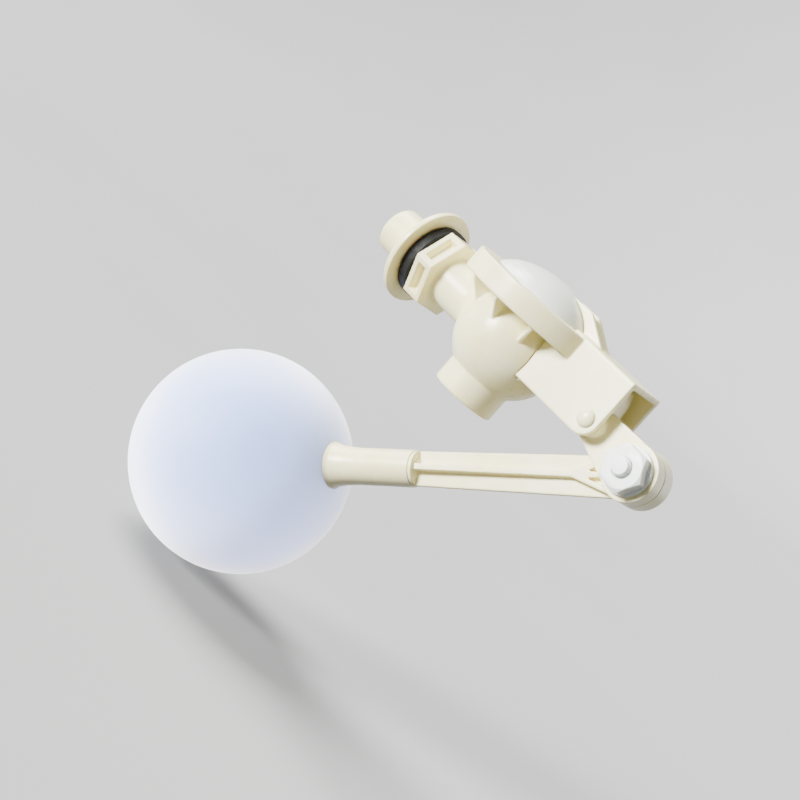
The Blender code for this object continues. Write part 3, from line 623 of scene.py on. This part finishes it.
def rubber():
    """Black moulded rubber with dusty patches and a fine grain."""
    made, tree, shader = start_material("black_rubber")
    dust = blotches(tree, scale=300, detail=5, roughness=0.65)
    tone = ramp(tree, dust, (0.005, 0.005, 0.005), (0.014, 0.014, 0.013), at=(0.35, 0.7))
    tree.links.new(tone, shader.inputs["Base Color"])
    wear = blotches(tree, scale=500, detail=4, roughness=0.6)
    tree.links.new(ramp(tree, wear, 0.48, 0.7), shader.inputs["Roughness"])
    grain = blotches(tree, scale=3500, detail=4, roughness=0.7)
    tree.links.new(relief(tree, [(grain, 0.05 * MM, 0.6)]), shader.inputs["Normal"])
    shader.inputs["Specular IOR Level"].default_value = 0.2
    return made


FINISHES = {
    "cream_plastic": moulded_plastic(
        "cream_plastic",
        pale=(0.93, 0.87, 0.54),
        warm=(0.90, 0.82, 0.44),
        shine=(0.36, 0.26),
        translucency=0.15,
    ),
    "white_plastic": moulded_plastic(
        "white_plastic",
        pale=(0.88, 0.91, 0.87),
        warm=(0.84, 0.87, 0.82),
        shine=(0.45, 0.34),
        translucency=0.35,
    ),
    "dome_plastic": moulded_plastic(
        "dome_plastic",
        pale=(0.85, 0.87, 0.80),
        warm=(0.80, 0.82, 0.73),
        shine=(0.26, 0.18),
        translucency=0.5,
        grain=0.35,
    ),
    "ball_plastic": blown_ball(),
    "black_rubber": rubber(),
}


def dress(obj, name, body, finish, *nodes, sharp=40):
    """Names a finished piece, gives it its finish, and lets it ride on its body in place of CAD nodes."""
    obj.name = name
    obj.data.name = name
    obj.data.materials.clear()
    obj.data.materials.append(FINISHES[finish])
    obj.data.shade_smooth()
    if sharp:
        obj.data.set_sharp_from_angle(angle=math.radians(sharp))
    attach(obj, body)
    if nodes:
        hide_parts(*nodes)
    return obj


def keep_nodes():
    """The inner pieces whose CAD shape is right get the same finishes."""
    slots = {part["node"]: part["material_slot"] for part in frame["record"]["subparts"]}
    for name, obj in frame["nodes"].items():
        obj.data.materials.clear()
        obj.data.materials.append(FINISHES[slots[name]])


# ---------------------------------------------------------------- inlet side


def connector():
    flange_back = GASKET_X[0] - GAP
    flange_front = flange_back - FLANGE_LEN
    core = THREAD_R - THREAD_DEPTH
    corners = [
        (0, SPIGOT_END_X, 0),
        (SPIGOT_R, SPIGOT_END_X, SPIGOT_ROUND),
        (SPIGOT_R, flange_front, SPIGOT_ROOT_ROUND),
        (FLANGE_R, flange_front, FLANGE_ROUND[0]),
        (FLANGE_R, flange_back, FLANGE_ROUND[1]),
        (core, flange_back, EDGE_ROUND),
        (core, THREAD_END_X, THREAD_END_ROUND),
        (0, THREAD_END_X, 0),
    ]
    piece = lathe("connector", fillet(corners), "X")
    low, high = flange_back - MM, THREAD_END_X - EDGE_ROUND
    add(piece, thread("screw", core - FIT, THREAD_R, THREAD_PITCH, low, high, axis="X", segments=64))
    mouth = [(INLET_BORE_R + wider, SPIGOT_END_X + depth) for wider, depth in INLET_MOUTH]
    bore = [(0, mouth[0][1])] + mouth + [(INLET_BORE_R, THREAD_END_X + MM), (0, THREAD_END_X + MM)]
    cut(piece, lathe("bore", bore, "X"))
    dress(piece, "inlet_connector_shell", "connector", "cream_plastic", "inlet_connector", sharp=30)


def gasket():
    """The rubber ring, with the fine seam of its mould round the middle."""
    low, high = GASKET_X
    middle_x = (low + high) / 2
    bore = THREAD_R + GAP
    side = GASKET_R - GASKET_DRAFT
    foot = GASKET_R - SEAM_RISE
    corners = [
        (bore, low, EDGE_ROUND),
        (side, low, GASKET_ROUND),
        (foot, middle_x - SEAM_HALF[1], 0),
        (GASKET_R, middle_x - SEAM_HALF[0], 0),
        (GASKET_R, middle_x + SEAM_HALF[0], 0),
        (foot, middle_x + SEAM_HALF[1], 0),
        (side, high, GASKET_ROUND),
        (bore, high, EDGE_ROUND),
    ]
    piece = lathe("gasket", fillet(corners), "X")
    dress(piece, "flange_gasket_ring", "connector", "black_rubber", "flange_gasket", sharp=60)


def hexagon():
    """The wrench hexagon, with a tapered pocket moulded into each flat."""
    block = prism("hex", arc((0, 0), HEX_R, 0, 300, 5), "X", 0, HEX_LEN)
    flat = HEX_R * math.cos(math.radians(30))
    half_side = HEX_R / 2 - HEX_POCKET_FRAME
    heights = (flat - HEX_POCKET_DEPTH, flat + MM)
    for side in range(6):
        pocket = bmesh.new()
        rings = []
        for height, inset in zip(heights, HEX_POCKET_DRAFT):
            ring = []
            for x, y in ((0, -1), (1, -1), (1, 1), (0, 1)):
                low_x, high_x = HEX_POCKET_FRAME + inset, HEX_LEN - HEX_POCKET_FRAME - inset
                ring.append(pocket.verts.new((high_x if x else low_x, y * (half_side - inset), height)))
            rings.append(ring)
        for i in range(4):
            j = (i + 1) % 4
            pocket.faces.new((rings[0][i], rings[0][j], rings[1][j], rings[1][i]))
        pocket.faces.new(rings[0])
        pocket.faces.new(rings[1])
        cutter = to_object(pocket, "pocket")
        cutter.data.transform(Matrix.Rotation(math.radians(60 * side), 4, "X"))
        cut(block, cutter)
    return block


# ---------------------------------------------------------------- body


def bowl():
    """Bowl, spout, throat and rim, as one turned outline."""
    slope = math.degrees(math.asin((RIM_LOW - BOWL_Z) / BOWL_R))
    spout_turn = -math.degrees(math.acos(SPOUT_R / BOWL_R))
    inner_r = BOWL_R - BOWL_WALL
    inner_top = math.degrees(math.asin((BODY_RIM_TOP - BOWL_Z) / inner_r))
    inner_low = -math.degrees(math.acos((THROAT_OUTER_R + MM) / inner_r))
    profile = fillet(
        [
            (SPOUT_BORE_R, SPOUT_END_Z + SPOUT_LIP, 0),
            (SPOUT_BORE_R, SPOUT_END_Z, SPOUT_ROUND[0]),
            (SPOUT_R, SPOUT_END_Z, SPOUT_ROUND[1]),
            (SPOUT_R, SPOUT_END_Z + SPOUT_LIP, 0),
        ]
    )
    profile += arc((0, BOWL_Z), BOWL_R, spout_turn, slope, 40)
    profile += [(BODY_RIM_R, RIM_LOW), (BODY_RIM_R, BODY_RIM_TOP)]
    profile += arc((0, BOWL_Z), inner_r, inner_top, inner_low, 24)
    inner_floor = BOWL_Z + inner_r * math.sin(math.radians(inner_low))
    profile += [
        (THROAT_OUTER_R, inner_floor + MM),
        (THROAT_OUTER_R, THROAT_TOP_Z),
        (THROAT_R, THROAT_TOP_Z),
        (THROAT_R, SPOUT_STEP_Z),
        (SPOUT_BORE_R, SPOUT_STEP_Z),
    ]
    return lathe("bowl", profile, "Z", (AXIS_X, 0, 0))


def gusset(azimuth):
    """One triangular rib under the rim."""
    top = RIM_LOW + OVERLAP
    low = RIM_LOW - GUSSET_HEIGHT
    root = BOWL_R - BOWL_WALL + GUSSET_ROOT
    outline = [(root - GUSSET_LEAN, top), (root, low), (BOWL_R, low)]
    outline += [(GUSSET_R, top - GUSSET_TOE), (GUSSET_R, top)]
    rib = prism("rib", outline, "Y", -GUSSET_THICK / 2, GUSSET_THICK / 2)
    rib.data.transform(Matrix.Rotation(math.radians(azimuth), 4, "Z"))
    rib.data.transform(Matrix.Translation((AXIS_X, 0, 0)))
    return rib


def neck():
    """The tube from the hexagon to the bowl, flared a little where it meets each."""
    end = AXIS_X - BOWL_R * NECK_REACH
    wide = NECK_R + NECK_FLARE
    bowl_edge = AXIS_X - math.sqrt(BOWL_R**2 - NECK_R**2)
    profile = [(0, HEX_LEN - MM), (wide, HEX_LEN - MM), (wide, HEX_LEN)]
    profile += [(NECK_R + share * NECK_FLARE, HEX_LEN + run * NECK_FLARE) for share, run in NECK_ROOT]
    profile += [(NECK_R + share * NECK_FLARE, bowl_edge + run) for share, run in NECK_BELL]
    profile += [(profile[-1][0], end), (0, end)]
    return lathe("neck", profile, "X")


def valve_body():
    body = bowl()
    add(body, neck())
    add(body, hexagon())
    for azimuth in GUSSET_AZIMUTHS:
        add(body, gusset(azimuth))
    cut(body, rod("thread", THREAD_R + GAP, "X", -MM, THREAD_END_X + THREAD_ROOM, segments=MEDIUM))
    cut(body, rod("bore", BODY_BORE_R, "X", 0, AXIS_X - THROAT_OUTER_R - BODY_BORE_STOP))
    for side in (-1, 1):
        walls = sorted((side * (CHANNEL_HALF - CHANNEL_WALL - GAP), side * (CHANNEL_HALF + GAP)))
        slot_x = (CHANNEL_START_X - GAP, CHANNEL_START_X + CHANNEL_SLOT_LEN)
        cut(body, box("slot", slot_x, walls, (BRACKET_BOTTOM - MM, RIM_LOW - CHANNEL_SLOT_DROP)))
    moulded(body, BODY_VOXEL, 4)
    nodes = ("inlet_neck", "valve_bowl", "body_rim", "seat_tube", "outlet_spout")
    dress(body, "valve_body_shell", "valve", "cream_plastic", *nodes, sharp=0)


# ---------------------------------------------------------------- cover


def dome_curve(base_r, rise, start=0, steps=30):
    """The dome's (radius, height) outline, from start degrees above its foot up to the middle."""
    points = []
    for step in range(steps):
        turn = math.radians(start + (90 - start) * step / steps)
        points.append((base_r * math.cos(turn), RING_Z[1] + rise * math.sin(turn) ** DOME_SHOULDER))
    return points + [(0, RING_Z[1] + rise)]


def dome():
    """The cap, with a faint step between its outer band and its middle."""
    rise = DOME_TOP - RING_Z[1]
    profile = [(DOME_INNER_R, DOME_FLANGE_LOW), (BODY_RIM_R, DOME_FLANGE_LOW), (BODY_RIM_R, DOME_FLANGE_TOP)]
    profile += [(DOME_BASE_R, DOME_FLANGE_TOP), (DOME_BASE_R, RING_Z[1] - DOME_FOOT_DROP)]
    band_end, middle_start = DOME_BAND
    band_r = DOME_BASE_R * math.cos(math.radians(band_end))
    profile += [point for point in dome_curve(DOME_BASE_R, rise - DOME_STEP) if point[0] > band_r]
    profile += dome_curve(DOME_BASE_R, rise, middle_start)
    profile += dome_curve(DOME_INNER_R, rise - DOME_WALL, steps=20)[::-1]
    piece = lathe("dome", profile, "Z", (AXIS_X, 0, 0))
    dress(piece, "dome_cap_shell", "valve", "dome_plastic", "dome_cap", sharp=35)


def hump():
    """Two ribs with a recess between them, sloping down from the dome to the web."""
    base = RING_Z[1] - HUMP_SINK
    back = AXIS_X + HUMP_BACK
    top_x, foot_x = HUMP_X
    outline = [(back, base), (foot_x + HUMP_TOE, base), (foot_x, CHANNEL_TOP_Z)]
    outline += [(top_x, HUMP_TOP), (back, HUMP_TOP)]
    block = prism("hump", outline, "Y", -HUMP_HALF, HUMP_HALF)
    floor, sky = HUMP_TOP - HUMP_RECESS, HUMP_TOP + 5 * MM
    beyond = foot_x + 3 * MM
    recess = [(back - MM, sky), (back - MM, floor), (top_x, floor)]
    recess += [(foot_x - HUMP_RUNOUT[0], CHANNEL_TOP_Z - HUMP_RECESS + HUMP_RUNOUT[1])]
    recess += [(beyond, CHANNEL_TOP_Z + GAP), (beyond, sky)]
    inside = HUMP_HALF - HUMP_RIB
    cut(block, prism("recess", recess, "Y", -inside, inside))
    clear_r = DOME_BASE_R + HUMP_CLEAR
    clear = [(0, base - MM), (clear_r, base - MM)] + dome_curve(clear_r, DOME_TOP - RING_Z[1])
    return cut(block, lathe("clear", clear, "Z", (AXIS_X, 0, GAP)))


def channel():
    """The downward-open channel, with its end corners rounded around the pivot pin."""
    inside = CHANNEL_HALF - CHANNEL_WALL
    corners = [
        (-CHANNEL_HALF, BRACKET_BOTTOM, 0),
        (-CHANNEL_HALF, CHANNEL_TOP_Z, CHANNEL_ROUND),
        (CHANNEL_HALF, CHANNEL_TOP_Z, CHANNEL_ROUND),
        (CHANNEL_HALF, BRACKET_BOTTOM, 0),
        (inside, BRACKET_BOTTOM, 0),
        (inside, CHANNEL_TOP_Z - CHANNEL_WALL, CHANNEL_ROUND),
        (-inside, CHANNEL_TOP_Z - CHANNEL_WALL, CHANNEL_ROUND),
        (-inside, BRACKET_BOTTOM, 0),
    ]
    piece = prism("channel", fillet(corners), "X", CHANNEL_START_X, BRACKET_END_X)
    corner = (BRACKET_END_X - CHANNEL_CORNER_R, BRACKET_BOTTOM + CHANNEL_CORNER_R)
    outside = arc(corner, CHANNEL_CORNER_R, -90, 0, 20)
    beyond = BRACKET_END_X + MM
    outside += [(beyond, corner[1]), (beyond, BRACKET_BOTTOM - MM), (corner[0], BRACKET_BOTTOM - MM)]
    wide = CHANNEL_HALF + MM
    cut(piece, prism("corner", outside, "Y", -wide, wide))
    top = (RING_Z[1] - WEB_DROP, CHANNEL_TOP_Z + MM)
    cut(piece, box("above", (CHANNEL_START_X - MM, WEB_X), (-wide, wide), top))
    return cut(piece, rod("hole", PIN_HOLE_R, "Y", -wide, wide, PIVOT, 48))


def cover():
    low, high = RING_Z
    corners = [(0, low, 0), (RING_R, low, RING_ROUND[0]), (RING_R, high, RING_ROUND[1]), (0, high, 0)]
    piece = lathe("ring", fillet(corners), "Z", (AXIS_X, 0, 0))
    add(piece, channel())
    boss_top = CHANNEL_TOP_Z - CHANNEL_WALL + MM
    add(piece, box("boss", BOSS_X, (-BOSS_HALF, BOSS_HALF), (BOSS_BOTTOM_Z, boss_top)))
    dome_room = DOME_BASE_R + GAP
    room = [(0, BOSS_BOTTOM_Z - MM), (RING_SKIRT_R, BOSS_BOTTOM_Z - MM), (RING_SKIRT_R, RING_SHELF_Z)]
    room += [(dome_room, RING_SHELF_Z), (dome_room, CHANNEL_TOP_Z + MM), (0, CHANNEL_TOP_Z + MM)]
    rim_room = lathe("rim_room", room, "Z", (AXIS_X, 0, 0))
    beside = (CHANNEL_START_X - MM, AXIS_X + RING_R)
    cut(rim_room, box("plates", beside, (-RING_R, RING_R), (0, low - GAP)))
    cut(piece, rim_room)
    add(piece, hump())
    start = AXIS_X + DOME_BASE_R - MM
    cut(piece, rod("passage", PILOT_BORE_R, "X", start, PASSAGE_X, (0, 0, PASSAGE_Z), 24))
    cut(piece, rod("drop", PILOT_BORE_R, "Z", PILOT_Z, PASSAGE_Z, (PASSAGE_X, 0, 0), 24))
    start = PASSAGE_X - NOZZLE_HOLE_BACK
    cut(piece, rod("nozzle", NOZZLE_HOLE_R, "X", start, BOSS_X[1] + MM, (0, 0, PILOT_Z), 32))
    moulded(piece, BODY_VOXEL, 3)
    dress(piece, "cover_bracket_shell", "valve", "cream_plastic", "cover_bracket", sharp=0)


def pin():
    near = -CHANNEL_HALF - GAP
    tail = CHANNEL_HALF + PIN_TAIL
    steps = 12
    profile = []
    for step in range(steps + 1):
        turn = math.radians(90 * step / steps)
        profile.append((PIN_HEAD_R * math.sin(turn), near - PIN_HEAD_RISE * math.cos(turn)))
    profile += [(PIN_R, near), (PIN_R, tail - PIN_CHAMFER), (PIN_R - PIN_CHAMFER, tail), (0, tail)]
    piece = lathe("pin", profile, "Y", PIVOT, 64)
    dress(piece, "pivot_pin_shell", "valve", "cream_plastic", "pivot_pin")


def retainer():
    low = CHANNEL_HALF + GAP
    high = low + RETAINER_THICK
    bore = PIN_R + FIT
    corners = [
        (bore, low, 0.1 * MM),
        (PIN_HEAD_R, low, 0.2 * MM),
        (PIN_HEAD_R - RETAINER_TAPER, high, 0.5 * MM),
        (bore, high, 0.2 * MM),
    ]
    piece = lathe("retainer", fillet(corners), "Y", PIVOT, 64)
    dress(piece, "pin_retainer_ring", "valve", "cream_plastic", "pin_retainer")


# ---------------------------------------------------------------- lever and arm


def lever():
    """Neck with its eye, hub on the pin, and crank that holds the pilot pad."""
    pivot, eye = (PIVOT.x, PIVOT.z), (EYE.x, EYE.z)
    near, far = LEVER_EYE_Y
    piece = prism("neck", racket(pivot, LEVER_NECK_R, eye, EYE_R, 40), "Y", *LEVER_NECK_Y)
    add(piece, rod("boss", EYE_R + SLIVER, "Y", near, far - SLIVER, EYE, MEDIUM))
    add(piece, rod("hub", HUB_R, "Y", -HUB_HALF, HUB_HALF, PIVOT))
    crank = [
        (PAD_BACK_X, CRANK_TOP_Z - MM),
        (PAD_BACK_X, PILOT_Z - PILOT_PAD_R),
        (PIVOT.x - CRANK_ROOT_HALF, PIVOT.z),
        (PIVOT.x + CRANK_ROOT_HALF, PIVOT.z),
        (CRANK_END_X, CRANK_TOP_Z - CRANK_BACK_DROP),
        (CRANK_END_X - CRANK_CORNER, CRANK_TOP_Z),
        (PAD_BACK_X + MM, CRANK_TOP_Z),
    ]
    add(piece, prism("crank", crank, "Y", -CRANK_HALF, CRANK_HALF))
    cut(piece, rod("pin", PIN_HOLE_R, "Y", -HUB_HALF - MM, HUB_HALF + MM, PIVOT, 48))
    cut(piece, rod("hole", EYE_HOLE_R, "Y", near - MM, far + MM, EYE))
    moulded(piece, LEVER_VOXEL, 4)
    dress(piece, "lever_shell", "lever", "cream_plastic", "lever", sharp=0)


def on_arm(obj):
    """Moves a piece made along +X from the eye into the arm's place, with no turn about its length."""
    drop = math.atan2(EYE.z - BALL_CENTRE.z, EYE.x - BALL_CENTRE.x)
    obj.data.transform(Matrix.Translation(EYE) @ Matrix.Rotation(math.pi - drop, 4, "Y"))
    return obj


def fork():
    """The ridge's Y-shaped end, with two small pockets between its ribs."""
    reach = math.sqrt(EYE_R**2 - FORK_HALF**2)
    near, far = ARM_EYE_Y
    outline = [(0, -FORK_HALF), (reach, -FORK_HALF), (FORK_X, -RIDGE_HALF_WIDTH)]
    outline += [(FORK_X, RIDGE_HALF_WIDTH), (reach, FORK_HALF), (0, FORK_HALF)]
    block = prism("fork", outline, "Y", near + SLIVER, far - SLIVER)
    floor = ARM_PLATE_THICK / 2
    root = EYE_R + MM
    back, tip_z = FORK_POCKET_TIP
    low, high = FORK_POCKET_Z
    for side in (-1, 1):
        pocket = [(root, side * low), (FORK_X - back, side * tip_z), (root, side * high)]
        for y in ((near - MM, ARM_MID_Y - floor), (ARM_MID_Y + floor, far + MM)):
            cut(block, prism("pocket", pocket, "Y", *y))
    return block


def arm():
    """Flat plate with its ridge and fork, round eye, and the tenon that the sleeve is pushed on."""
    wide, narrow = ARM_HALF_WIDTH
    near, far = ARM_EYE_Y
    start = math.sqrt(EYE_R**2 - wide**2)
    thick = ARM_PLATE_THICK / 2
    plate = [(start, -wide), (ARM_END_X, -narrow), (ARM_END_X, narrow), (start, wide)]
    piece = prism("plate", plate, "Y", ARM_MID_Y - thick, ARM_MID_Y + thick)
    add(piece, rod("eye", EYE_R, "Y", near, far, segments=MEDIUM))
    crest = SOCKET_R - RIDGE_BELOW_SLEEVE
    side_view = [
        (FORK_X - MM, near + 2 * SLIVER),
        (ARM_END_X, ARM_MID_Y - crest),
        (ARM_END_X, ARM_MID_Y + crest),
        (FORK_X - MM, far - 2 * SLIVER),
    ]
    add(piece, prism("ridge", side_view, "Z", -RIDGE_HALF_WIDTH, RIDGE_HALF_WIDTH))
    add(piece, fork())
    axis = (0, ARM_MID_Y, 0)
    add(piece, rod("tenon", TENON_R, "X", ARM_END_X - TENON_ROOT, ARM_END_X + TENON_LEN, axis))
    add(piece, rod("shoulder", SHOULDER_R, "X", ARM_END_X - SHOULDER_LEN, ARM_END_X, axis, MEDIUM))
    cut(piece, rod("hole", EYE_HOLE_R, "Y", near - MM, far + MM))
    half = COLLAR_POCKET / 2
    cut(piece, box("pocket", (-half, half), (COLLAR_Y[0] - GAP, far + MM), (-half, half)))
    moulded(piece, ARM_VOXEL, 3)
    dress(on_arm(piece), "float_arm_shell", "arm", "cream_plastic", "float_arm", sharp=0)


def ball_surface(radius, offset):
    """How far along the arm a sphere about the ball's centre lies, at that distance from the arm's axis."""
    return ARM_LENGTH - math.sqrt(radius**2 - offset**2)


def socket():
    """The sleeve between arm and ball, flared against the ball, with a plug in the ball's neck."""
    start = SLEEVE_START_X
    near = BALL_R + FIT
    bottom = start + TENON_LEN + MM
    flare_end = ball_surface(near, SOCKET_FLARE_R)
    plug_end = ball_surface(near, PLUG_R) + PLUG_DEPTH
    corners = [(TENON_R + GAP, start, 0.1 * MM), (SOCKET_R, start, EDGE_ROUND)]
    corners += [(SOCKET_R + wider, flare_end - back, soft) for back, wider, soft in SOCKET_FLARE]
    corners += [(SOCKET_FLARE_R, flare_end - EDGE_ROUND, EDGE_ROUND)]
    corners += [(offset, ball_surface(near, offset), 0) for offset in (*SOCKET_FOOT, PLUG_R)]
    corners += [(PLUG_R, plug_end, PLUG_ROUND), (0, plug_end, 0), (0, bottom, 0), (TENON_R + GAP, bottom, 0)]
    piece = lathe("socket", fillet(corners, 8), "X", (0, ARM_MID_Y, 0), MEDIUM)
    dress(on_arm(piece), "ball_socket_shell", "arm", "cream_plastic", "ball_socket", sharp=35)


def ball():
    inner = BALL_R - BALL_WALL
    outer_start = math.degrees(math.asin(BALL_HOLE_R / BALL_R))
    inner_start = math.degrees(math.asin(BALL_HOLE_R / inner))
    outside = arc((0, 0), BALL_R, 90 - outer_start, -90, 90)[:-1] + [(0, -BALL_R)]
    inside = [(0, -inner)] + arc((0, 0), inner, -90, 90 - inner_start, 60)[1:]
    profile = [(r, -height) for r, height in outside + inside]
    piece = lathe("ball", profile, "X", (ARM_LENGTH, ARM_MID_Y, 0))
    dress(on_arm(piece), "float_ball_shell", "arm", "ball_plastic", "float_ball", sharp=50)


# ---------------------------------------------------------------- bolt and nut


def bolt():
    """Disc head with a dished face, square collar, and threaded shank."""
    under, face = BOLT_HEAD_Y
    corners = [
        (0, under, 0),
        (BOLT_HEAD_R, under, BOLT_HEAD_ROUND[0]),
        (BOLT_HEAD_R, face, BOLT_HEAD_ROUND[1]),
        (BOLT_HEAD_R - BOLT_RIM[0], face, EDGE_ROUND),
        (BOLT_HEAD_R - BOLT_RIM[1], face - BOLT_DISH[0], EDGE_ROUND),
        (0, face - BOLT_DISH[1], 0),
    ]
    piece = lathe("head", fillet(corners), "Y", segments=MEDIUM)
    half = COLLAR_SIDE / 2
    collar = box("collar", (-half, half), (COLLAR_Y[0], COLLAR_Y[1] + MM), (-half, half))
    add(piece, softened(collar, COLLAR_ROUND))
    root = COLLAR_Y[0] + MM
    corners = [(0, BOLT_END_Y, 0), (BOLT_CORE_R, BOLT_END_Y, EDGE_ROUND)]
    corners += [(BOLT_CORE_R, root, 0), (0, root, 0)]
    add(piece, lathe("core", fillet(corners), "Y", segments=48))
    low, high = BOLT_END_Y + BOLT_LEAD, COLLAR_Y[0] + OVERLAP
    add(piece, thread("thread", BOLT_CORE_R + SLIVER, BOLT_R, BOLT_PITCH, low, high))
    dress(on_arm(piece), "clamp_bolt_threaded", "bolt", "white_plastic", "clamp_bolt", sharp=28)


def nut():
    """Hexagon with a turned crown, on a washer face, with its thread cut."""
    under, face = NUT_WASHER_Y
    piece = prism("hex", arc((0, 0), NUT_HEX_R, 0, 300, 5), "Y", NUT_END_Y, under + OVERLAP)
    softened(piece, EDGE_ROUND)
    inset, wider, length = NUT_CROWN
    flat = NUT_HEX_R * math.cos(math.radians(30)) - inset
    crown = [(0, NUT_END_Y - MM), (flat, NUT_END_Y - MM), (flat, NUT_END_Y)]
    crown += [(NUT_HEX_R + wider, NUT_END_Y + length), (NUT_HEX_R + wider, 0), (0, 0)]
    combine(piece, lathe("crown", crown, "Y", segments=MEDIUM), "INTERSECT")
    corners = [(0, under, 0), (NUT_WASHER_R, under, NUT_WASHER_ROUND)]
    corners += [(NUT_WASHER_R, face, NUT_WASHER_ROUND), (0, face, 0)]
    add(piece, lathe("washer", fillet(corners), "Y", segments=MEDIUM))
    low, high = NUT_END_Y - MM, face + MM
    cut(piece, rod("bore", NUT_BORE_R, "Y", low, high))
    cut(piece, thread("thread", *NUT_THREAD_R, BOLT_PITCH, low, high))
    piece.data.transform(Matrix.Translation(EYE))
    dress(piece, "clamp_nut_threaded", "nut", "white_plastic", "clamp_nut", sharp=28)


# ---------------------------------------------------------------- stage, light and camera


def stage():
    """A pale floor that curves up into a wall all round, so no edge of it shows."""
    floor_z = CAD_BOUNDS[0][2] - FLOOR_DROP
    wall_r = FLOOR_R + SWEEP_R
    profile = [(0, floor_z)] + arc((FLOOR_R, floor_z + SWEEP_R), SWEEP_R, -90, 0, 24)
    profile += [(wall_r, WALL_TOP), (wall_r + SHEET, WALL_TOP)]
    profile += [(wall_r + SHEET, floor_z - SHEET), (0, floor_z - SHEET)]
    floor = lathe("floor", profile, "Z")
    made, tree, shader = start_material("floor_paper")
    cloud = blotches(tree, scale=3, detail=2, roughness=0.5)
    tree.links.new(ramp(tree, cloud, *FLOOR_TONE), shader.inputs["Base Color"])
    shader.inputs["Roughness"].default_value = 0.9
    floor.data.materials.append(made)
    floor.data.shade_smooth()
    floor.visible_shadow = False
    floor.visible_diffuse = False


def sun(name, direction, strength, angle, colour=(1, 1, 1)):
    """An even light from a direction, softened by its apparent width in degrees."""
    light = bpy.data.lights.new(name, "SUN")
    light.energy = strength
    light.angle = math.radians(angle)
    light.color = colour
    lamp = bpy.data.objects.new(name, light)
    bpy.context.scene.collection.objects.link(lamp)
    lamp.rotation_euler = Vector(direction).to_track_quat("Z", "Y").to_euler()
    return lamp


def only_on(lamp, piece):
    """Lets a lamp light one piece only. It stands for light that a milky ball passes through itself."""
    lit = bpy.data.collections.new(lamp.name + "_on")
    lit.objects.link(bpy.data.objects[piece])
    lamp.light_linking.receiver_collection = lit


def light_the_set():
    for name, direction, strength, angle in STUDIO_LIGHTS:
        sun(name, direction, strength, angle)
    for name, direction, strength in BALL_GLOW:
        only_on(sun(name, direction, strength, GLOW_ANGLE, GLOW_COLOUR), "float_ball_shell")
    bpy.data.objects["float_ball_shell"].visible_diffuse = False
    world = bpy.data.worlds.new("studio")
    world.use_nodes = True
    background = world.node_tree.nodes["Background"]
    background.inputs["Color"].default_value = (1.0, 1.0, 1.0, 1.0)
    background.inputs["Strength"].default_value = SKY
    bpy.context.scene.world = world


def place_camera():
    up = CAMERA_RIGHT.cross(CAMERA_VIEW)
    right = CAMERA_VIEW.cross(up)
    camera_data = bpy.data.cameras.new("camera")
    camera_data.lens = CAMERA_LENS
    camera_data.sensor_width = 36.0
    camera = bpy.data.objects.new("camera", camera_data)
    bpy.context.scene.collection.objects.link(camera)
    turn = Matrix((right.normalized(), up.normalized(), -CAMERA_VIEW.normalized())).transposed()
    camera.matrix_world = Matrix.Translation(CAMERA_PLACE) @ turn.to_4x4()
    bpy.context.scene.camera = camera


# ---------------------------------------------------------------- all of it

keep_nodes()
for make in (connector, gasket, valve_body, dome, cover, pin, retainer, lever, arm, socket, ball, bolt, nut):
    make()
stage()
light_the_set()
place_camera()
